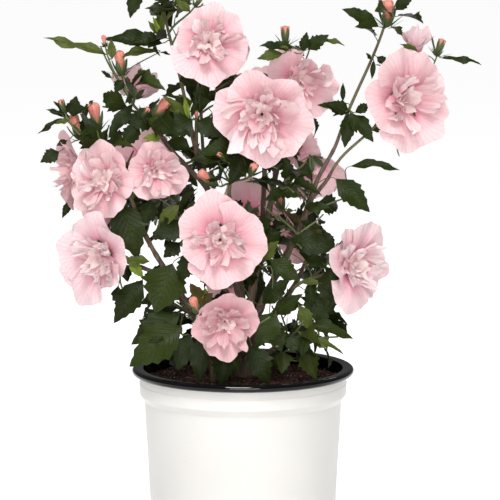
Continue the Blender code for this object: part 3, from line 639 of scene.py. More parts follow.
def grow_limb(name, limbs):
    """The curve and radii of one limb from its row and its parent."""
    parent, place, tip, foot, end = LIMBS[name]
    tip = mm(*tip)
    if parent == "soil":
        start = mm(*place, 0) + UP * (SOIL_LEVEL + CLEAR)
        leaving = UP
    else:
        start, leaving, _ = along(limbs[parent], place)
        if place < 1.0:
            leaving = (leaving * CLING + (tip - start).normalized()).normalized()
        else:
            start = start + leaving * END_CLEAR
    arriving = ((tip - start).normalized() + UP * LIMB_LIFT).normalized()
    limb = tapered(*bend(start, leaving, tip, arriving, LIMB_STEP), foot * MM, end * MM)
    if name == "trunk":
        swell = [1.0 + (FLARE - 1.0) * math.exp((start.z - spot.z) / FLARE_HEIGHT)
                 for spot in limb.path]
        limb = Limb(limb.path, limb.ways, [r * s for r, s in zip(limb.radii, swell)])
    return limb


limbs = {}
for name in LIMBS:
    limbs[name] = grow_limb(name, limbs)
print("limbs:", len(limbs))


# %% [markdown]
# A limb is drawn as a tube: a ring of corners is extruded from place to place along the bend.
# A bevelled curve makes a tube too, but an even one.  Here the stem swells a little at each old
# leaf joint and has fine ridges, so every ring's radius is nudged by both.

# %% Tubes
LIMB_SIDES = 12
JOINT_GAP = 0.021
JOINT_SWELL = 0.16
JOINT_SHARPNESS = 7.0
RIDGE = 0.045
RIDGE_CHANCE = 0.02
# Waves for each metre across a limb, in x and y, and along its height.
RIDGE_X, RIDGE_Y, RIDGE_Z = 2900, 3100, 160


def ring_matrix(spot, way, side, size):
    """Takes a unit circle to a ring round a limb."""
    turn = Matrix((side * size, way.cross(side) * size, way)).transposed().to_4x4()
    return Matrix.Translation(spot) @ turn


def tube(shape, limb, sides, joints=0.0, ridges=0.0, seed=0.0):
    """Adds a closed tapering tube to a bmesh, swollen at its joints and ridged by noise."""
    side = square_to(limb.ways[0])
    rings = []
    gone = seed * 0.01
    for index, (spot, way, radius) in enumerate(zip(limb.path, limb.ways, limb.radii)):
        if index:
            gone += (spot - limb.path[index - 1]).length
        side = (side - way * side.dot(way)).normalized()
        swell = 1.0 + joints * math.exp(-((gone / JOINT_GAP % 1.0 - 0.5) * JOINT_SHARPNESS) ** 2)
        rings.append(ring_matrix(spot, way, side, radius * swell))
    made = bmesh.ops.create_circle(shape, cap_ends=True, segments=sides, radius=1.0,
                                   matrix=rings[0])
    rim = list(dict.fromkeys(edge for corner in made["verts"] for edge in corner.link_edges))
    for before, after in zip(rings, rings[1:]):
        made = bmesh.ops.extrude_edge_only(shape, edges=rim)["geom"]
        corners = [item for item in made if isinstance(item, bmesh.types.BMVert)]
        rim = [item for item in made if isinstance(item, bmesh.types.BMEdge)
               and item.verts[0] in corners and item.verts[1] in corners]
        bmesh.ops.transform(shape, matrix=after @ before.inverted(), verts=corners)
        if ridges:
            middle = after.translation
            for corner in corners:
                away = corner.co - middle
                nudge = math.sin(away.x * RIDGE_X + seed)
                nudge = nudge * math.sin(away.y * RIDGE_Y + corner.co.z * RIDGE_Z)
                chance = noise.uniform(-RIDGE_CHANCE, RIDGE_CHANCE)
                corner.co = middle + away * (1.0 + ridges * nudge + chance)
    bmesh.ops.edgeloop_fill(shape, edges=rim)


wood = bmesh.new()
green_wood = bmesh.new()
OLD_LIMBS = ("trunk", "bough_left", "bough_centre", "bough_left_tall", "bough_right",
             "bough_back", "bough_back_left", "bough_back_right", "bough_front",
             "bough_right_low")
for index, (name, limb) in enumerate(limbs.items()):
    shape = wood if name in OLD_LIMBS else green_wood
    tube(shape, limb, LIMB_SIDES, JOINT_SWELL, RIDGE, index)
print("corners of the old and young wood:", len(wood.verts), len(green_wood.verts))


# %% [markdown]
# Bark is grey-brown in fine streaks that follow the stem, so its noise is drawn out along the
# height, and the same streaks give its relief.  Young stems are smoother and browner, and a slow
# noise tints both with patches.

# %% Bark finish
bark = Finish("bark_brown", roughness=0.85)
spot = bark.place()
streaks = bark.noise(bark.stretched(spot, (420.0, 420.0, 90.0)), 1.0, 5.0, 0.6)
patches = bark.noise(spot, 38.0, 3.0)
brown = bark.ramp(streaks, [(0.32, (0.048, 0.028, 0.018)), (0.52, (0.120, 0.078, 0.052)),
                            (0.70, (0.240, 0.175, 0.125))])
bark.feed(Base_Color=bark.blend(patches * 0.35, brown, (0.090, 0.068, 0.038)),
          Roughness=0.75 + streaks * 0.2)
bark.relief(streaks, 0.0007, 0.8)
young = Finish("bark_young", roughness=0.65)
spot = young.place()
streaks = young.noise(young.stretched(spot, (380.0, 380.0, 70.0)), 1.0, 4.0, 0.6)
patches = young.noise(spot, 30.0, 2.0)
tan = young.ramp(streaks, [(0.3, (0.056, 0.033, 0.023)), (0.7, (0.175, 0.118, 0.085))])
young.feed(Base_Color=young.blend(patches * 0.5, tan, (0.082, 0.052, 0.036)))
young.relief(streaks, 0.0004, 0.6)
show("boughs_old", finished(wood, 180.0), [bark],
     [name for name in LIMBS if name in OLD_LIMBS])
show("boughs_young", finished(green_wood, 180.0), [young],
     [name for name in LIMBS if name not in OLD_LIMBS])


# %% [markdown]
# A mass of foliage grows from the end of a bough: its stem goes on from the bough, shoots leave
# the stem for each bloom, bud and leafy tip, more shoots fill in at the golden angle, and leaves
# stand along them.  Each mass keeps to its own space, so that gaps of sky stay open between them.

# %% Rows of the masses
# Along: how far up its bough the mass leaves it, 1 if not said.
# Heart: the end of the mass's own stem in mm.  Bare: the part of that stem without leaves.
# Fill: how many more shoots the rule adds.
# Sparse and small: how much wider apart and how much smaller its leaves are than usual.
# Bloom: centre in mm, the way it faces as azimuth and elevation in degrees (0, 0 is the front,
# azimuth grows to the right), diameter in mm, how far it is open, and where they differ from the
# usual how full it is, its tint and the name of its outline.
# Bud: centre in mm and length in mm.  Tip: the end of a leafy shoot in mm.
# Leaf: the end of one leaf in mm, which gives the mass its space there.
Bloom = namedtuple("Bloom", "place azimuth elevation diameter spread full tint shape",
                   defaults=(0.6, "even", None))
MassRow = namedtuple("MassRow", "bough heart along bare sparse small fill blooms buds tips leaves",
                     defaults=(1.0, 0.0, 1.0, 1.0, 0, (), (), (), ()))
MASSES = {
    "foliage_left": MassRow(
        bough="bough_left", heart=(-138, -6, 440), sparse=2.6, fill=1,
        blooms=[Bloom((-147, -45, 422), -18, 6, 80, 1.0, 0.7, "even", "left"),
                Bloom((-89, -36, 431), 14, 4, 65, 0.95, 0.8, "even", "near_left"),
                Bloom((-184, 0, 428), -78, -4, 88, 0.95, 0.1, "deep_shaded")],
        buds=[((-174, -2, 474), 30), ((-153, -22, 486), 32)],
        tips=[(-190, -8, 490), (-130, 30, 430)],
        leaves=[(-212, -30, 474), (-180, -14, 506), (-196, -20, 520)]),
    "foliage_left_low": MassRow(
        bough="bough_left_low", heart=(-142, -30, 350), sparse=1.8, fill=1,
        blooms=[Bloom((-154, -56, 342), -32, -4, 96, 1.0, 0.5, "pale", "left_low")],
        tips=[(-124, -18, 302), (-150, 4, 356)],
        leaves=[(-138, -28, 282)]),
    "foliage_upper_left": MassRow(
        bough="bough_left_mid", heart=(-116, -8, 500), sparse=8.0, fill=1,
        # This bloom faces away from the lamps; its pale tint paints light on it.
        blooms=[Bloom((-112, 6, 514), 176, 46, 58, 0.8, 0.4, "pale")],
        buds=[((-127, -14, 541), 28), ((-86, -14, 493), 30)],
        tips=[(-148, -4, 558), (-72, -24, 470)],
        leaves=[(-197, -14, 565), (-164, -12, 530)]),
    "foliage_top_left": MassRow(
        bough="bough_left_tall", heart=(-84, -4, 606), sparse=6.0, fill=1, bare=0.6,
        buds=[((-57, -8, 612), 26), ((-94, -6, 640), 20)], tips=[(-92, -8, 585)],
        leaves=[(-118, 2, 594)]),
    "foliage_top_centre": MassRow(
        bough="bough_left_tall", along=0.80, heart=(-46, -20, 534), sparse=6.0, fill=1,
        blooms=[Bloom((-33, -42, 565), 8, 8, 84, 1.0, 0.6, "even", "top")],
        tips=[(-36, 16, 560), (-46, -22, 500)], leaves=[(-7, -14, 519)]),
    "foliage_centre": MassRow(
        bough="bough_front_tall", heart=(2, -40, 468), fill=2,
        blooms=[Bloom((18, -76, 489), -6, -6, 100, 1.0, 1.0, "even", "middle")],
        buds=[((10, -62, 434), 22), ((-36, -46, 424), 26)],
        tips=[(-44, -32, 452), (36, -46, 434)], leaves=[(-14, -60, 418)]),
    "foliage_centre_right": MassRow(
        bough="bough_centre", heart=(48, 14, 500), sparse=1.8, small=0.78, fill=1,
        blooms=[Bloom((62, -6, 518), 10, -10, 80, 0.95, 0.5, "even", "behind")],
        buds=[((44, -6, 569), 22)],
        tips=[(72, 10, 562), (28, 14, 552)], leaves=[(96, 18, 476)]),
    "foliage_top_right": MassRow(
        bough="bough_right_tall", heart=(150, 2, 588), sparse=7.0, bare=0.8,
        buds=[((150, -4, 592), 32), ((172, 4, 640), 22)], tips=[(168, 8, 618)],
        leaves=[(150, 4, 548)]),
    "foliage_right": MassRow(
        bough="bough_right_bloom", heart=(148, -2, 488), sparse=4.0, bare=0.9,
        blooms=[Bloom((174, -18, 502), 24, 2, 103, 1.0, 0.4, "even", "right"),
                Bloom((181, 34, 552), 10, 62, 56, 0.45, 0.4, "pale"),
                Bloom((178, 58, 500), 120, 6, 86, 1.0)],
        buds=[((206, 14, 556), 20)],
        tips=[(192, 34, 520)], leaves=[(128, -16, 384), (166, -14, 432), (246, 2, 540)]),
    "foliage_right_mid": MassRow(
        bough="bough_right", along=0.78, heart=(74, 34, 408), sparse=2.6, small=0.78, fill=2,
        blooms=[Bloom((78, 50, 424), 150, -52, 72, 0.7)],
        tips=[(52, 52, 400)]),
    "foliage_middle_right": MassRow(
        bough="bough_right", along=0.48, heart=(58, -26, 366), sparse=1.8, small=0.78, fill=2,
        tips=[(36, -40, 386), (84, -20, 384), (60, -50, 352)],
        leaves=[(20, -46, 392), (92, -34, 366)]),
    "foliage_middle": MassRow(
        bough="bough_centre", along=0.74, heart=(46, -26, 424), sparse=1.4, small=0.78, fill=2,
        tips=[(40, -52, 414), (66, -24, 440)], leaves=[(78, -32, 424)]),
    "foliage_middle_left": MassRow(
        bough="bough_left_tall", along=0.36, heart=(-58, -20, 366), sparse=1.4, fill=2,
        tips=[(-72, -36, 392), (-84, 10, 360), (-54, -40, 348)],
        leaves=[(-84, -46, 344)]),
    "foliage_right_low": MassRow(
        bough="bough_right_low", heart=(96, -20, 328), sparse=3.4, small=0.78, fill=1,
        blooms=[Bloom((124, -28, 329), 46, 2, 92, 1.0, 0.6, "pale", "right_low"),
                Bloom((112, 40, 316), 116, 4, 72, 1.0)],
        tips=[(76, -36, 304)]),
    "foliage_front": MassRow(
        bough="bough_front", heart=(-14, -72, 350), fill=2,
        blooms=[Bloom((-22, -98, 366), 4, 5, 89, 1.0, 0.5, "even", "front")],
        tips=[(-58, -62, 350), (28, -68, 336)], leaves=[(52, -66, 326)]),
    "foliage_front_low": MassRow(
        bough="bough_front_low", heart=(-14, -78, 270), fill=2,
        blooms=[Bloom((-18, -102, 281), 2, -4, 74, 0.85, 0.8, "deep_shaded", "low")],
        buds=[((-48, -104, 300), 22)],
        tips=[(-56, -84, 300), (28, -84, 286)], leaves=[(14, -84, 228)]),
    "foliage_low_left": MassRow(
        bough="bough_low_left", heart=(-76, -8, 290), sparse=1.5, fill=2,
        tips=[(-92, -46, 266), (-62, -22, 312), (-62, -56, 262)],
        leaves=[(-120, -52, 230), (-70, -62, 230), (-38, -84, 232),
                (-96, 22, 322)]),
    "foliage_low_right": MassRow(
        bough="bough_low_right", heart=(54, -42, 262), sparse=2.4, small=0.78, fill=1,
        tips=[(34, -66, 252), (62, -60, 278), (80, -34, 260), (30, -50, 292)],
        leaves=[(56, -84, 236)]),
    "foliage_back": MassRow(
        bough="bough_back", heart=(-6, 124, 346), fill=2,
        blooms=[Bloom((8, 156, 368), 172, 8, 84, 1.0), Bloom((-20, 140, 292), 190, -6, 58, 0.9)],
        buds=[((22, 146, 316), 24)],
        tips=[(32, 112, 300), (-46, 104, 340)], leaves=[(14, 122, 262)]),
    "foliage_back_left": MassRow(
        bough="bough_back_left", heart=(-98, 116, 410), fill=2,
        blooms=[Bloom((-118, 144, 424), 212, 8, 90, 1.0), Bloom((-148, 88, 366), 262, -2, 84, 0.9)],
        buds=[((-74, 132, 462), 26)],
        tips=[(-146, 70, 416), (-66, 138, 404), (-84, 90, 448)], leaves=[(-176, 104, 410)]),
    "foliage_back_right": MassRow(
        bough="bough_back_right", heart=(84, 112, 322), fill=2,
        blooms=[Bloom((66, 150, 338), 158, 8, 68, 1.0)],
        buds=[((40, 128, 382), 24)],
        tips=[(104, 88, 306), (48, 92, 366)], leaves=[(122, 120, 286)]),
    "foliage_back_top": MassRow(
        bough="bough_back_top", heart=(26, 118, 478), fill=2,
        blooms=[Bloom((28, 152, 492), 174, 14, 90, 1.0), Bloom((60, 112, 442), 150, 0, 52, 0.9)],
        buds=[((0, 112, 512), 26)],
        tips=[(-22, 108, 462), (60, 100, 508)], leaves=[(-44, 118, 440)]),
    "foliage_back_high": MassRow(
        bough="bough_left_tall", along=0.66, heart=(-46, 66, 520), sparse=2.5, fill=1,
        blooms=[Bloom((-36, 104, 548), 184, 22, 84, 1.0), Bloom((-92, 62, 430), 238, 4, 72, 0.9)],
        buds=[((-44, 70, 584), 24)],
        tips=[(-20, 60, 492), (-64, 84, 480)], leaves=[(-86, 96, 500)]),
    "foliage_low_back": MassRow(
        bough="trunk", along=0.22, heart=(-30, 58, 262), fill=2,
        tips=[(-72, 60, 280), (-8, 84, 262), (-50, 84, 256)], leaves=[(-96, 66, 250)]),
    "foliage_low_back_right": MassRow(
        bough="trunk", along=0.12, heart=(56, 30, 256), fill=2,
        tips=[(84, 30, 280), (60, 70, 268), (84, 54, 254)], leaves=[(102, 46, 242)]),
}


# %% [markdown]
# The rule fills a mass with leaves, but some leaves and small buds show against the sky and give
# the plant its outline.  A rule would have to be lucky to put them right, so those are set down
# one by one, each on a stalk from the nearest shoot.

# %% Leaves and buds at the outline
# Leaf: its base and its tip in mm, how broad it is for its length, how much its face is turned to
# the front and the number of its tone.
PLACED = {
    "foliage_upper_left": [
        ((-141, -14, 549), (-206, -18, 567), 0.25, 0.5, 5),
        ((-135, -20, 545), (-136, -20, 566), 0.55, 0.8, 5),
        ((-136, -16, 525), (-147, -16, 533), 0.5, 0.6, 0),
        ((-124, -24, 524), (-132, -28, 511), 0.9, 1.0, 0),
        ((-114, -22, 499), (-139, -26, 464), 0.42, 0.7, 0),
        ((-90, -16, 481), (-123, -22, 481), 0.85, 0.9, 0),
        ((-107, -22, 478), (-125, -26, 454), 0.75, 0.9, 0),
        ((-84, -28, 464), (-103, -34, 464), 0.6, 0.7, 6),
        ((-88, -12, 554), (-129, -18, 547), 0.3, 0.6, 5),
    ],
    "foliage_top_left": [
        ((-83, -12, 561), (-143, -18, 566), 0.34, 0.7, 0),
        ((-84, -16, 566), (-116, -22, 560), 0.62, 0.8, 0),
        ((-75, -10, 549), (-86, -12, 552), 0.4, 0.6, 0),
        ((-85, -12, 568), (-98, -12, 584), 0.42, 0.8, 5),
        ((-85, -16, 568), (-93, -18, 589), 0.3, 0.8, 6),
        ((-84, -12, 568), (-88, -10, 593), 0.3, 0.8, 5),
        ((-84, -14, 568), (-83, -18, 595), 0.28, 0.8, 5),
        ((-67, -14, 595), (-101, -18, 597), 0.45, 0.6, 0),
        ((-108, -10, 618), (-116, -16, 589), 0.62, 0.9, 0),
        ((-75, -10, 603), (-96, -16, 614), 0.7, 0.8, 0),
        ((-54, -24, 594), (-69, -26, 606), 0.6, 0.9, 5),
    ],
    "foliage_left": [
        ((-177, -10, 485), (-173, -14, 506), 1.05, 1.0, 0),
        ((-182, -8, 485), (-197, -10, 501), 0.32, 0.7, 0),
        ((-186, -8, 483), (-214, -12, 467), 0.26, 0.5, 0),
        ((-180, -6, 484), (-205, -8, 492), 0.35, 0.6, 0),
        ((-180, -14, 482), (-195, -18, 478), 0.5, 0.7, 5),
        ((-169, -16, 480), (-157, -20, 463), 0.6, 0.7, 0),
        ((-192, -6, 448), (-210, -12, 438), 0.85, 1.0, 0),
        ((-183, -10, 460), (-194, -14, 455), 0.7, 0.9, 0),
        ((-179, -6, 397), (-189, -10, 379), 0.5, 0.8, 0),
        ((-128, -24, 397), (-137, -28, 381), 0.65, 0.8, 5),
    ],
    "foliage_top_centre": [
        ((-57, -28, 485), (-82, -34, 508), 0.3, 0.8, 5),
        ((-57, -30, 485), (-76, -36, 494), 0.35, 0.6, 5),
        ((-56, -32, 485), (-60, -36, 506), 0.34, 0.9, 6),
        ((-53, -30, 485), (-47, -32, 508), 0.28, 0.8, 0),
        ((-42, -24, 502), (-15, -28, 510), 0.45, 0.7, 0),
        ((-52, -34, 483), (-77, -42, 468), 1.05, 1.0, 0),
        ((-48, -36, 483), (-23, -42, 467), 0.85, 1.0, 0),
        ((-31, -30, 528), (-2, -34, 519), 0.5, 0.6, 0),
    ],
    "foliage_left_low": [
        ((-126, -26, 396), (-110, -34, 342), 0.8, 1.0, 1),
        ((-97, -34, 336), (-126, -40, 337), 0.6, 0.5, 5),
        ((-118, -38, 337), (-103, -42, 320), 0.6, 0.9, 6),
        ((-104, -36, 317), (-133, -44, 274), 0.62, 1.0, 0),
    ],
    "foliage_middle_left": [
        ((-95, -30, 400), (-101, -34, 375), 0.85, 1.0, 0),
        ((-66, -34, 395), (-88, -38, 372), 0.52, 0.8, 5),
        ((-60, -36, 375), (-94, -42, 362), 0.85, 1.0, 0),
        ((-65, -34, 356), (-82, -38, 341), 0.95, 1.0, 0),
        ((-73, -44, 335), (-90, -54, 286), 1.05, 1.0, 2),
    ],
    "foliage_low_left": [
        ((-65, -46, 283), (-113, -54, 254), 0.62, 0.9, 1),
        ((-63, -52, 271), (-116, -60, 231), 0.72, 0.9, 2),
        ((-75, -50, 262), (-89, -56, 232), 0.75, 1.0, 1),
        ((-55, -56, 263), (-67, -64, 228), 0.85, 1.0, 0),
    ],
    "foliage_front_low": [
        ((-43, -70, 264), (-45, -76, 218), 0.6, 1.0, 0),
        ((-18, -72, 249), (-22, -78, 213), 0.75, 1.0, 0),
        ((9, -70, 254), (26, -76, 216), 0.75, 1.0, 0),
    ],
    "foliage_front": [
        ((20, -56, 295), (48, -62, 322), 0.6, 1.0, 0),
        ((32, -56, 284), (60, -62, 305), 0.6, 1.0, 1),
        ((-34, -66, 318), (-49, -72, 331), 0.6, 0.9, 6),
    ],
    "foliage_low_right": [
        ((34, -60, 287), (16, -66, 253), 0.85, 1.0, 2),
        ((26, -56, 280), (40, -62, 246), 0.85, 1.0, 1),
        ((42, -50, 258), (64, -56, 245), 0.7, 0.8, 1),
        ((59, -34, 290), (71, -38, 264), 0.65, 1.0, 5),
        ((66, -30, 268), (113, -34, 256), 0.36, 0.6, 2),
        ((51, -36, 262), (104, -40, 240), 0.22, 0.5, 5),
        ((57, -44, 251), (78, -48, 237), 0.35, 0.6, 0),
    ],
    "foliage_right_low": [
        ((91, -22, 328), (92, -28, 282), 0.72, 1.0, 0),
        ((70, -24, 305), (86, -30, 266), 0.8, 1.0, 0),
    ],
    "foliage_middle_right": [
        ((28, -34, 338), (59, -42, 317), 0.72, 0.9, 2),
        ((49, -26, 358), (97, -32, 348), 0.62, 0.9, 0),
        ((58, -24, 345), (88, -28, 328), 0.5, 0.7, 1),
        ((62, -26, 313), (82, -30, 313), 0.5, 0.7, 5),
        ((72, -26, 316), (69, -30, 286), 0.5, 0.7, 0),
    ],
    "foliage_right_mid": [
        ((60, -4, 375), (83, -8, 365), 0.4, 0.6, 1),
        ((64, -10, 390), (91, -16, 390), 0.55, 0.8, 2),
        ((58, -8, 439), (73, -12, 418), 0.5, 0.9, 0),
        ((97, -10, 420), (132, -16, 386), 0.62, 1.0, 1),
        ((112, -8, 433), (162, -12, 430), 0.24, 0.6, 1),
        ((83, 0, 364), (96, -4, 344), 0.6, 0.8, 0),
    ],
    "foliage_top_right": [
        ((108, -6, 489), (77, -10, 497), 0.36, 0.6, 1),
        ((107, -8, 490), (94, -12, 486), 0.45, 0.6, 0),
        ((112, -10, 490), (118, -14, 469), 0.62, 0.9, 1),
        ((117, -8, 489), (134, -12, 498), 0.65, 0.8, 0),
        ((104, -6, 501), (104, -8, 520), 0.36, 0.8, 0),
        ((136, -6, 543), (134, -10, 524), 0.35, 0.8, 0),
        ((133, -6, 544), (128, -8, 551), 0.6, 0.8, 1),
        ((141, -8, 578), (104, -12, 596), 0.5, 0.8, 1),
        ((158, -6, 595), (176, -8, 610), 0.7, 0.8, 0),
        ((139, -6, 547), (152, -10, 537), 0.7, 0.9, 0),
        ((111, -4, 489), (88, -10, 499), 0.7, 0.9, 0),
        ((114, -4, 487), (135, -12, 460), 0.55, 0.9, 1),
        ((112, -4, 488), (106, -14, 454), 0.55, 0.9, 0),
    ],
    "foliage_centre_right": [
        ((52, -22, 556), (18, -28, 559), 0.42, 0.6, 0),
        ((41, -26, 551), (15, -32, 546), 0.6, 0.7, 5),
        ((62, -20, 553), (66, -22, 573), 0.65, 0.9, 0),
        ((67, -20, 555), (88, -24, 570), 0.72, 0.9, 1),
        ((78, -18, 566), (105, -22, 559), 0.28, 0.6, 5),
        ((48, -26, 554), (38, -28, 559), 0.7, 0.9, 5),
    ],
    "foliage_right": [
        ((207, 6, 545), (247, 2, 539), 0.22, 0.6, 1),
        ((182, -2, 552), (163, -6, 560), 0.4, 0.6, 5),
        ((201, 4, 547), (196, 2, 569), 0.12, 0.8, 5),
    ],
}
# Small bud: centre in mm, length in mm and how much of it the calyx covers.
SMALL_BUDS = {
    "foliage_upper_left": [((-143, -20, 564), 13, 0.40), ((-101, -22, 490), 15, 0.95)],
    "foliage_top_centre": [((-48, -26, 487), 12, 0.40)],
    "foliage_right_mid": [((68, -8, 411), 14, 0.55)],
    "foliage_centre": [((-21, -50, 446), 15, 0.95)],
    "foliage_left": [((-187, -14, 496), 16, 0.92)],
    "foliage_top_left": [((-67, -14, 606), 15, 0.92), ((-46, -24, 604), 13, 0.92)],
}
# The middles of the buds that their calyx almost hides.
GREEN_BUDS = ((206, 14, 556), (44, -6, 569), (10, -62, 434), (172, 4, 640))


# %% [markdown]
# Where may a leaf stand?  Inside its own mass's space, clear of the limbs, the pot and the soil,
# and neither inside a bloom nor before its face.  All these tests are sums on arrays, because a
# few thousand places are tried.

# %% Spaces and tests
STEM_BALL = 0.026
HEART_BALL = 0.034
TIP_BALL = 0.028
LEAF_BALL = 0.018
LEAF_BALL_IN = 0.3
BUD_BALL = 0.016
ROD_STEP = 4
LIMB_CLEAR = 0.0012
RIM_CLEAR = 0.0025
RIM_BAND = 0.018
# Parts of a bloom's diameter: how far its body reaches to the back, the front and the side, how
# soon behind it is full width, and the room kept free before its face.
BODY_BACK, BODY_FRONT, BODY_SIDE = 0.26, 0.16, 0.52
BODY_RISE = 0.20
FACE_FRONT, FACE_SIDE = 0.75, 0.44
# Leaves that would hide these limbs from the front are left out.
SHOWN_LIMBS = ("bough_left", "bough_right", "bough_right_tall", "bough_right_low")
SHOWN_GAP = 0.006


def facing(azimuth, elevation):
    """A direction from its azimuth (0 is the front) and elevation in degrees."""
    turn = math.radians(azimuth)
    lift = math.radians(elevation)
    return Vector((math.sin(turn) * math.cos(lift), -math.cos(turn) * math.cos(lift),
                   math.sin(lift)))


class Spaces:
    """Which mass a place belongs to, and what stands in the way there."""

    def __init__(self):
        self.names = list(MASSES)
        balls = [(index, spot, size) for index, name in enumerate(self.names)
                 for spot, size in self.balls(name)]
        self.owner = np.array([ball[0] for ball in balls])
        self.centre = np.array([tuple(ball[1]) for ball in balls])
        self.size = np.array([ball[2] for ball in balls])
        rods = [(a, b, r) for limb in limbs.values() for a, b, r in
                zip(limb.path[::ROD_STEP], limb.path[ROD_STEP::ROD_STEP],
                    limb.radii[::ROD_STEP])]
        self.foot = np.array([tuple(rod[0]) for rod in rods])
        self.rod = np.array([tuple(rod[1]) for rod in rods]) - self.foot
        self.thick = np.array([rod[2] for rod in rods])
        self.shown = np.array([tuple(spot) for name in SHOWN_LIMBS for spot in limbs[name].path])
        blooms = [bloom for row in MASSES.values() for bloom in row.blooms]
        self.heads = np.array([tuple(mm(*bloom.place)) for bloom in blooms])
        self.looks = np.array([tuple(facing(bloom.azimuth, bloom.elevation)) for bloom in blooms])
        self.wide = np.array([bloom.diameter * MM for bloom in blooms])

    def balls(self, name):
        """The balls of one mass: its stem, heart, blooms, buds, tips and outer leaves."""
        row = MASSES[name]
        foot, _, _ = along(limbs[row.bough], row.along)
        heart = mm(*row.heart)
        yield foot.lerp(heart, 0.5), STEM_BALL
        yield heart, HEART_BALL
        for bloom in row.blooms:
            yield mm(*bloom.place), bloom.diameter * MM / 2
        for place, _ in row.buds:
            yield mm(*place), BUD_BALL
        for place in row.tips:
            yield mm(*place), TIP_BALL
        for place in row.leaves:
            yield mm(*place).lerp(heart, LEAF_BALL_IN), LEAF_BALL

    def holds(self, name, spots):
        """True if every place lies inside the space of the mass."""
        power = ((spots[:, None] - self.centre[None]) ** 2).sum(2) - self.size ** 2
        mine = self.owner == self.names.index(name)
        return bool((power[:, mine].min(1) < power[:, ~mine].min(1)).all())

    def clear(self, spots):
        """True if every place is clear of the limbs, the pot and the soil."""
        away = spots[:, None] - self.foot[None]
        part = (away * self.rod).sum(2) / (self.rod ** 2).sum(1)
        off = away - np.clip(part, 0.0, 1.0)[..., None] * self.rod
        free = (np.sqrt((off ** 2).sum(2)) - self.thick > LIMB_CLEAR).all()
        before = np.abs(spots[:, None] - self.shown[None])
        ahead = spots[:, None, 1] < self.shown[None, :, 1]
        hidden = (before[..., 0] < SHOWN_GAP) & (before[..., 2] < SHOWN_GAP) & ahead
        if hidden.any():
            return False
        wide = np.hypot(spots[:, 0], spots[:, 1]) > RIM_RADIUS - RIM_BAND
        floor = np.where(wide, POT_HEIGHT + RIM_CLEAR, SOIL_LEVEL + RIM_CLEAR)
        return bool(free and (spots[:, 2] > floor).all())

    def off_blooms(self, spots):
        """True if no place lies inside a bloom or close before its face."""
        away = spots[:, None] - self.heads[None]
        ahead = (away * self.looks).sum(2)
        off = np.sqrt(np.maximum((away ** 2).sum(2) - ahead ** 2, 0.0))
        part = ahead / self.wide
        behind = np.clip((part + BODY_BACK) / BODY_RISE, 0.2, 1.0)
        inside = (part > -BODY_BACK) & (part < BODY_FRONT)
        inside &= off < self.wide * BODY_SIDE * behind
        before = (part > 0.0) & (part < FACE_FRONT) & (off < self.wide * FACE_SIDE)
        return not bool((inside | before).any())


spaces = Spaces()


# %% [markdown]
# The leaf of this shrub is a wedge at its base and has three lobes with coarse teeth, and the
# middle lobe is the longest.  A flat grid becomes that shape: each row of the grid is set to the
# leaf's width there, rows by turns wide and narrow make the teeth, and the blade is folded along
# its midrib and droops.  A cut-out on a flat card would be lighter, but its edge wouldn't be real
# and it couldn't fold.  Hundreds of copies need only a few dozen faces each.

# %% Leaf blades
LEAF_COLUMNS = 4
# From stalk to tip: how far along, how wide each half is, how far its edge is drawn forward.
LEAF_ROWS = np.array([(0.00, 0.012, 0.00), (0.08, 0.09, 0.00), (0.17, 0.23, 0.02),
                      (0.25, 0.36, 0.04), (0.33, 0.33, 0.02), (0.41, 0.43, 0.07),
                      (0.50, 0.30, 0.02), (0.58, 0.33, 0.05), (0.66, 0.22, 0.02),
                      (0.74, 0.21, 0.04), (0.83, 0.12, 0.01), (0.90, 0.08, 0.02),
                      (1.00, 0.008, 0.00)])
LEAF_BREADTH = 0.80
LEAF_CURL = 0.050
DROOP_SHORTENS = 0.35
MAP_COLUMNS = 4
MAP_ROWS = 2
MAP_EDGE = 0.05
DARK_TONES = (0, 1, 2, 3, 4)
MID_TONE, LIME_TONE, BRONZE_TONE = 5, 6, 7


def sheet(columns, rows):
    """A grid as two arrays, across (-1 to 1) and along (0 to 1), and its faces."""
    shape = bmesh.new()
    bmesh.ops.create_grid(shape, x_segments=columns, y_segments=rows, size=1.0)
    points, faces = pattern(shape)
    return points[:, 0], (points[:, 1] + 1.0) / 2.0, faces


def cell(tone, across, up):
    """Places in one of the map's eight cells."""
    column, row = tone % MAP_COLUMNS, tone // MAP_COLUMNS
    inner = 1.0 - 2.0 * MAP_EDGE
    u = (column + MAP_EDGE + inner * (across * 0.5 + 0.5)) / MAP_COLUMNS
    v = (row + MAP_EDGE + inner * up) / MAP_ROWS
    return np.stack([u, v], 1)


LEAF_S, LEAF_T, LEAF_FACES = sheet(LEAF_COLUMNS, len(LEAF_ROWS) - 1)
LEAF_INDEX = np.rint(LEAF_T * (len(LEAF_ROWS) - 1)).astype(int)
LEAF_V, LEAF_HALF, LEAF_AHEAD = LEAF_ROWS[LEAF_INDEX].T
# Narrow leaves have this plain outline in place of teeth.
LEAF_PLAIN = 0.40 * np.sin(math.pi * LEAF_V ** 0.8)
LEAF_MAPS = [cell(tone, LEAF_S, LEAF_V) for tone in range(MAP_COLUMNS * MAP_ROWS)]


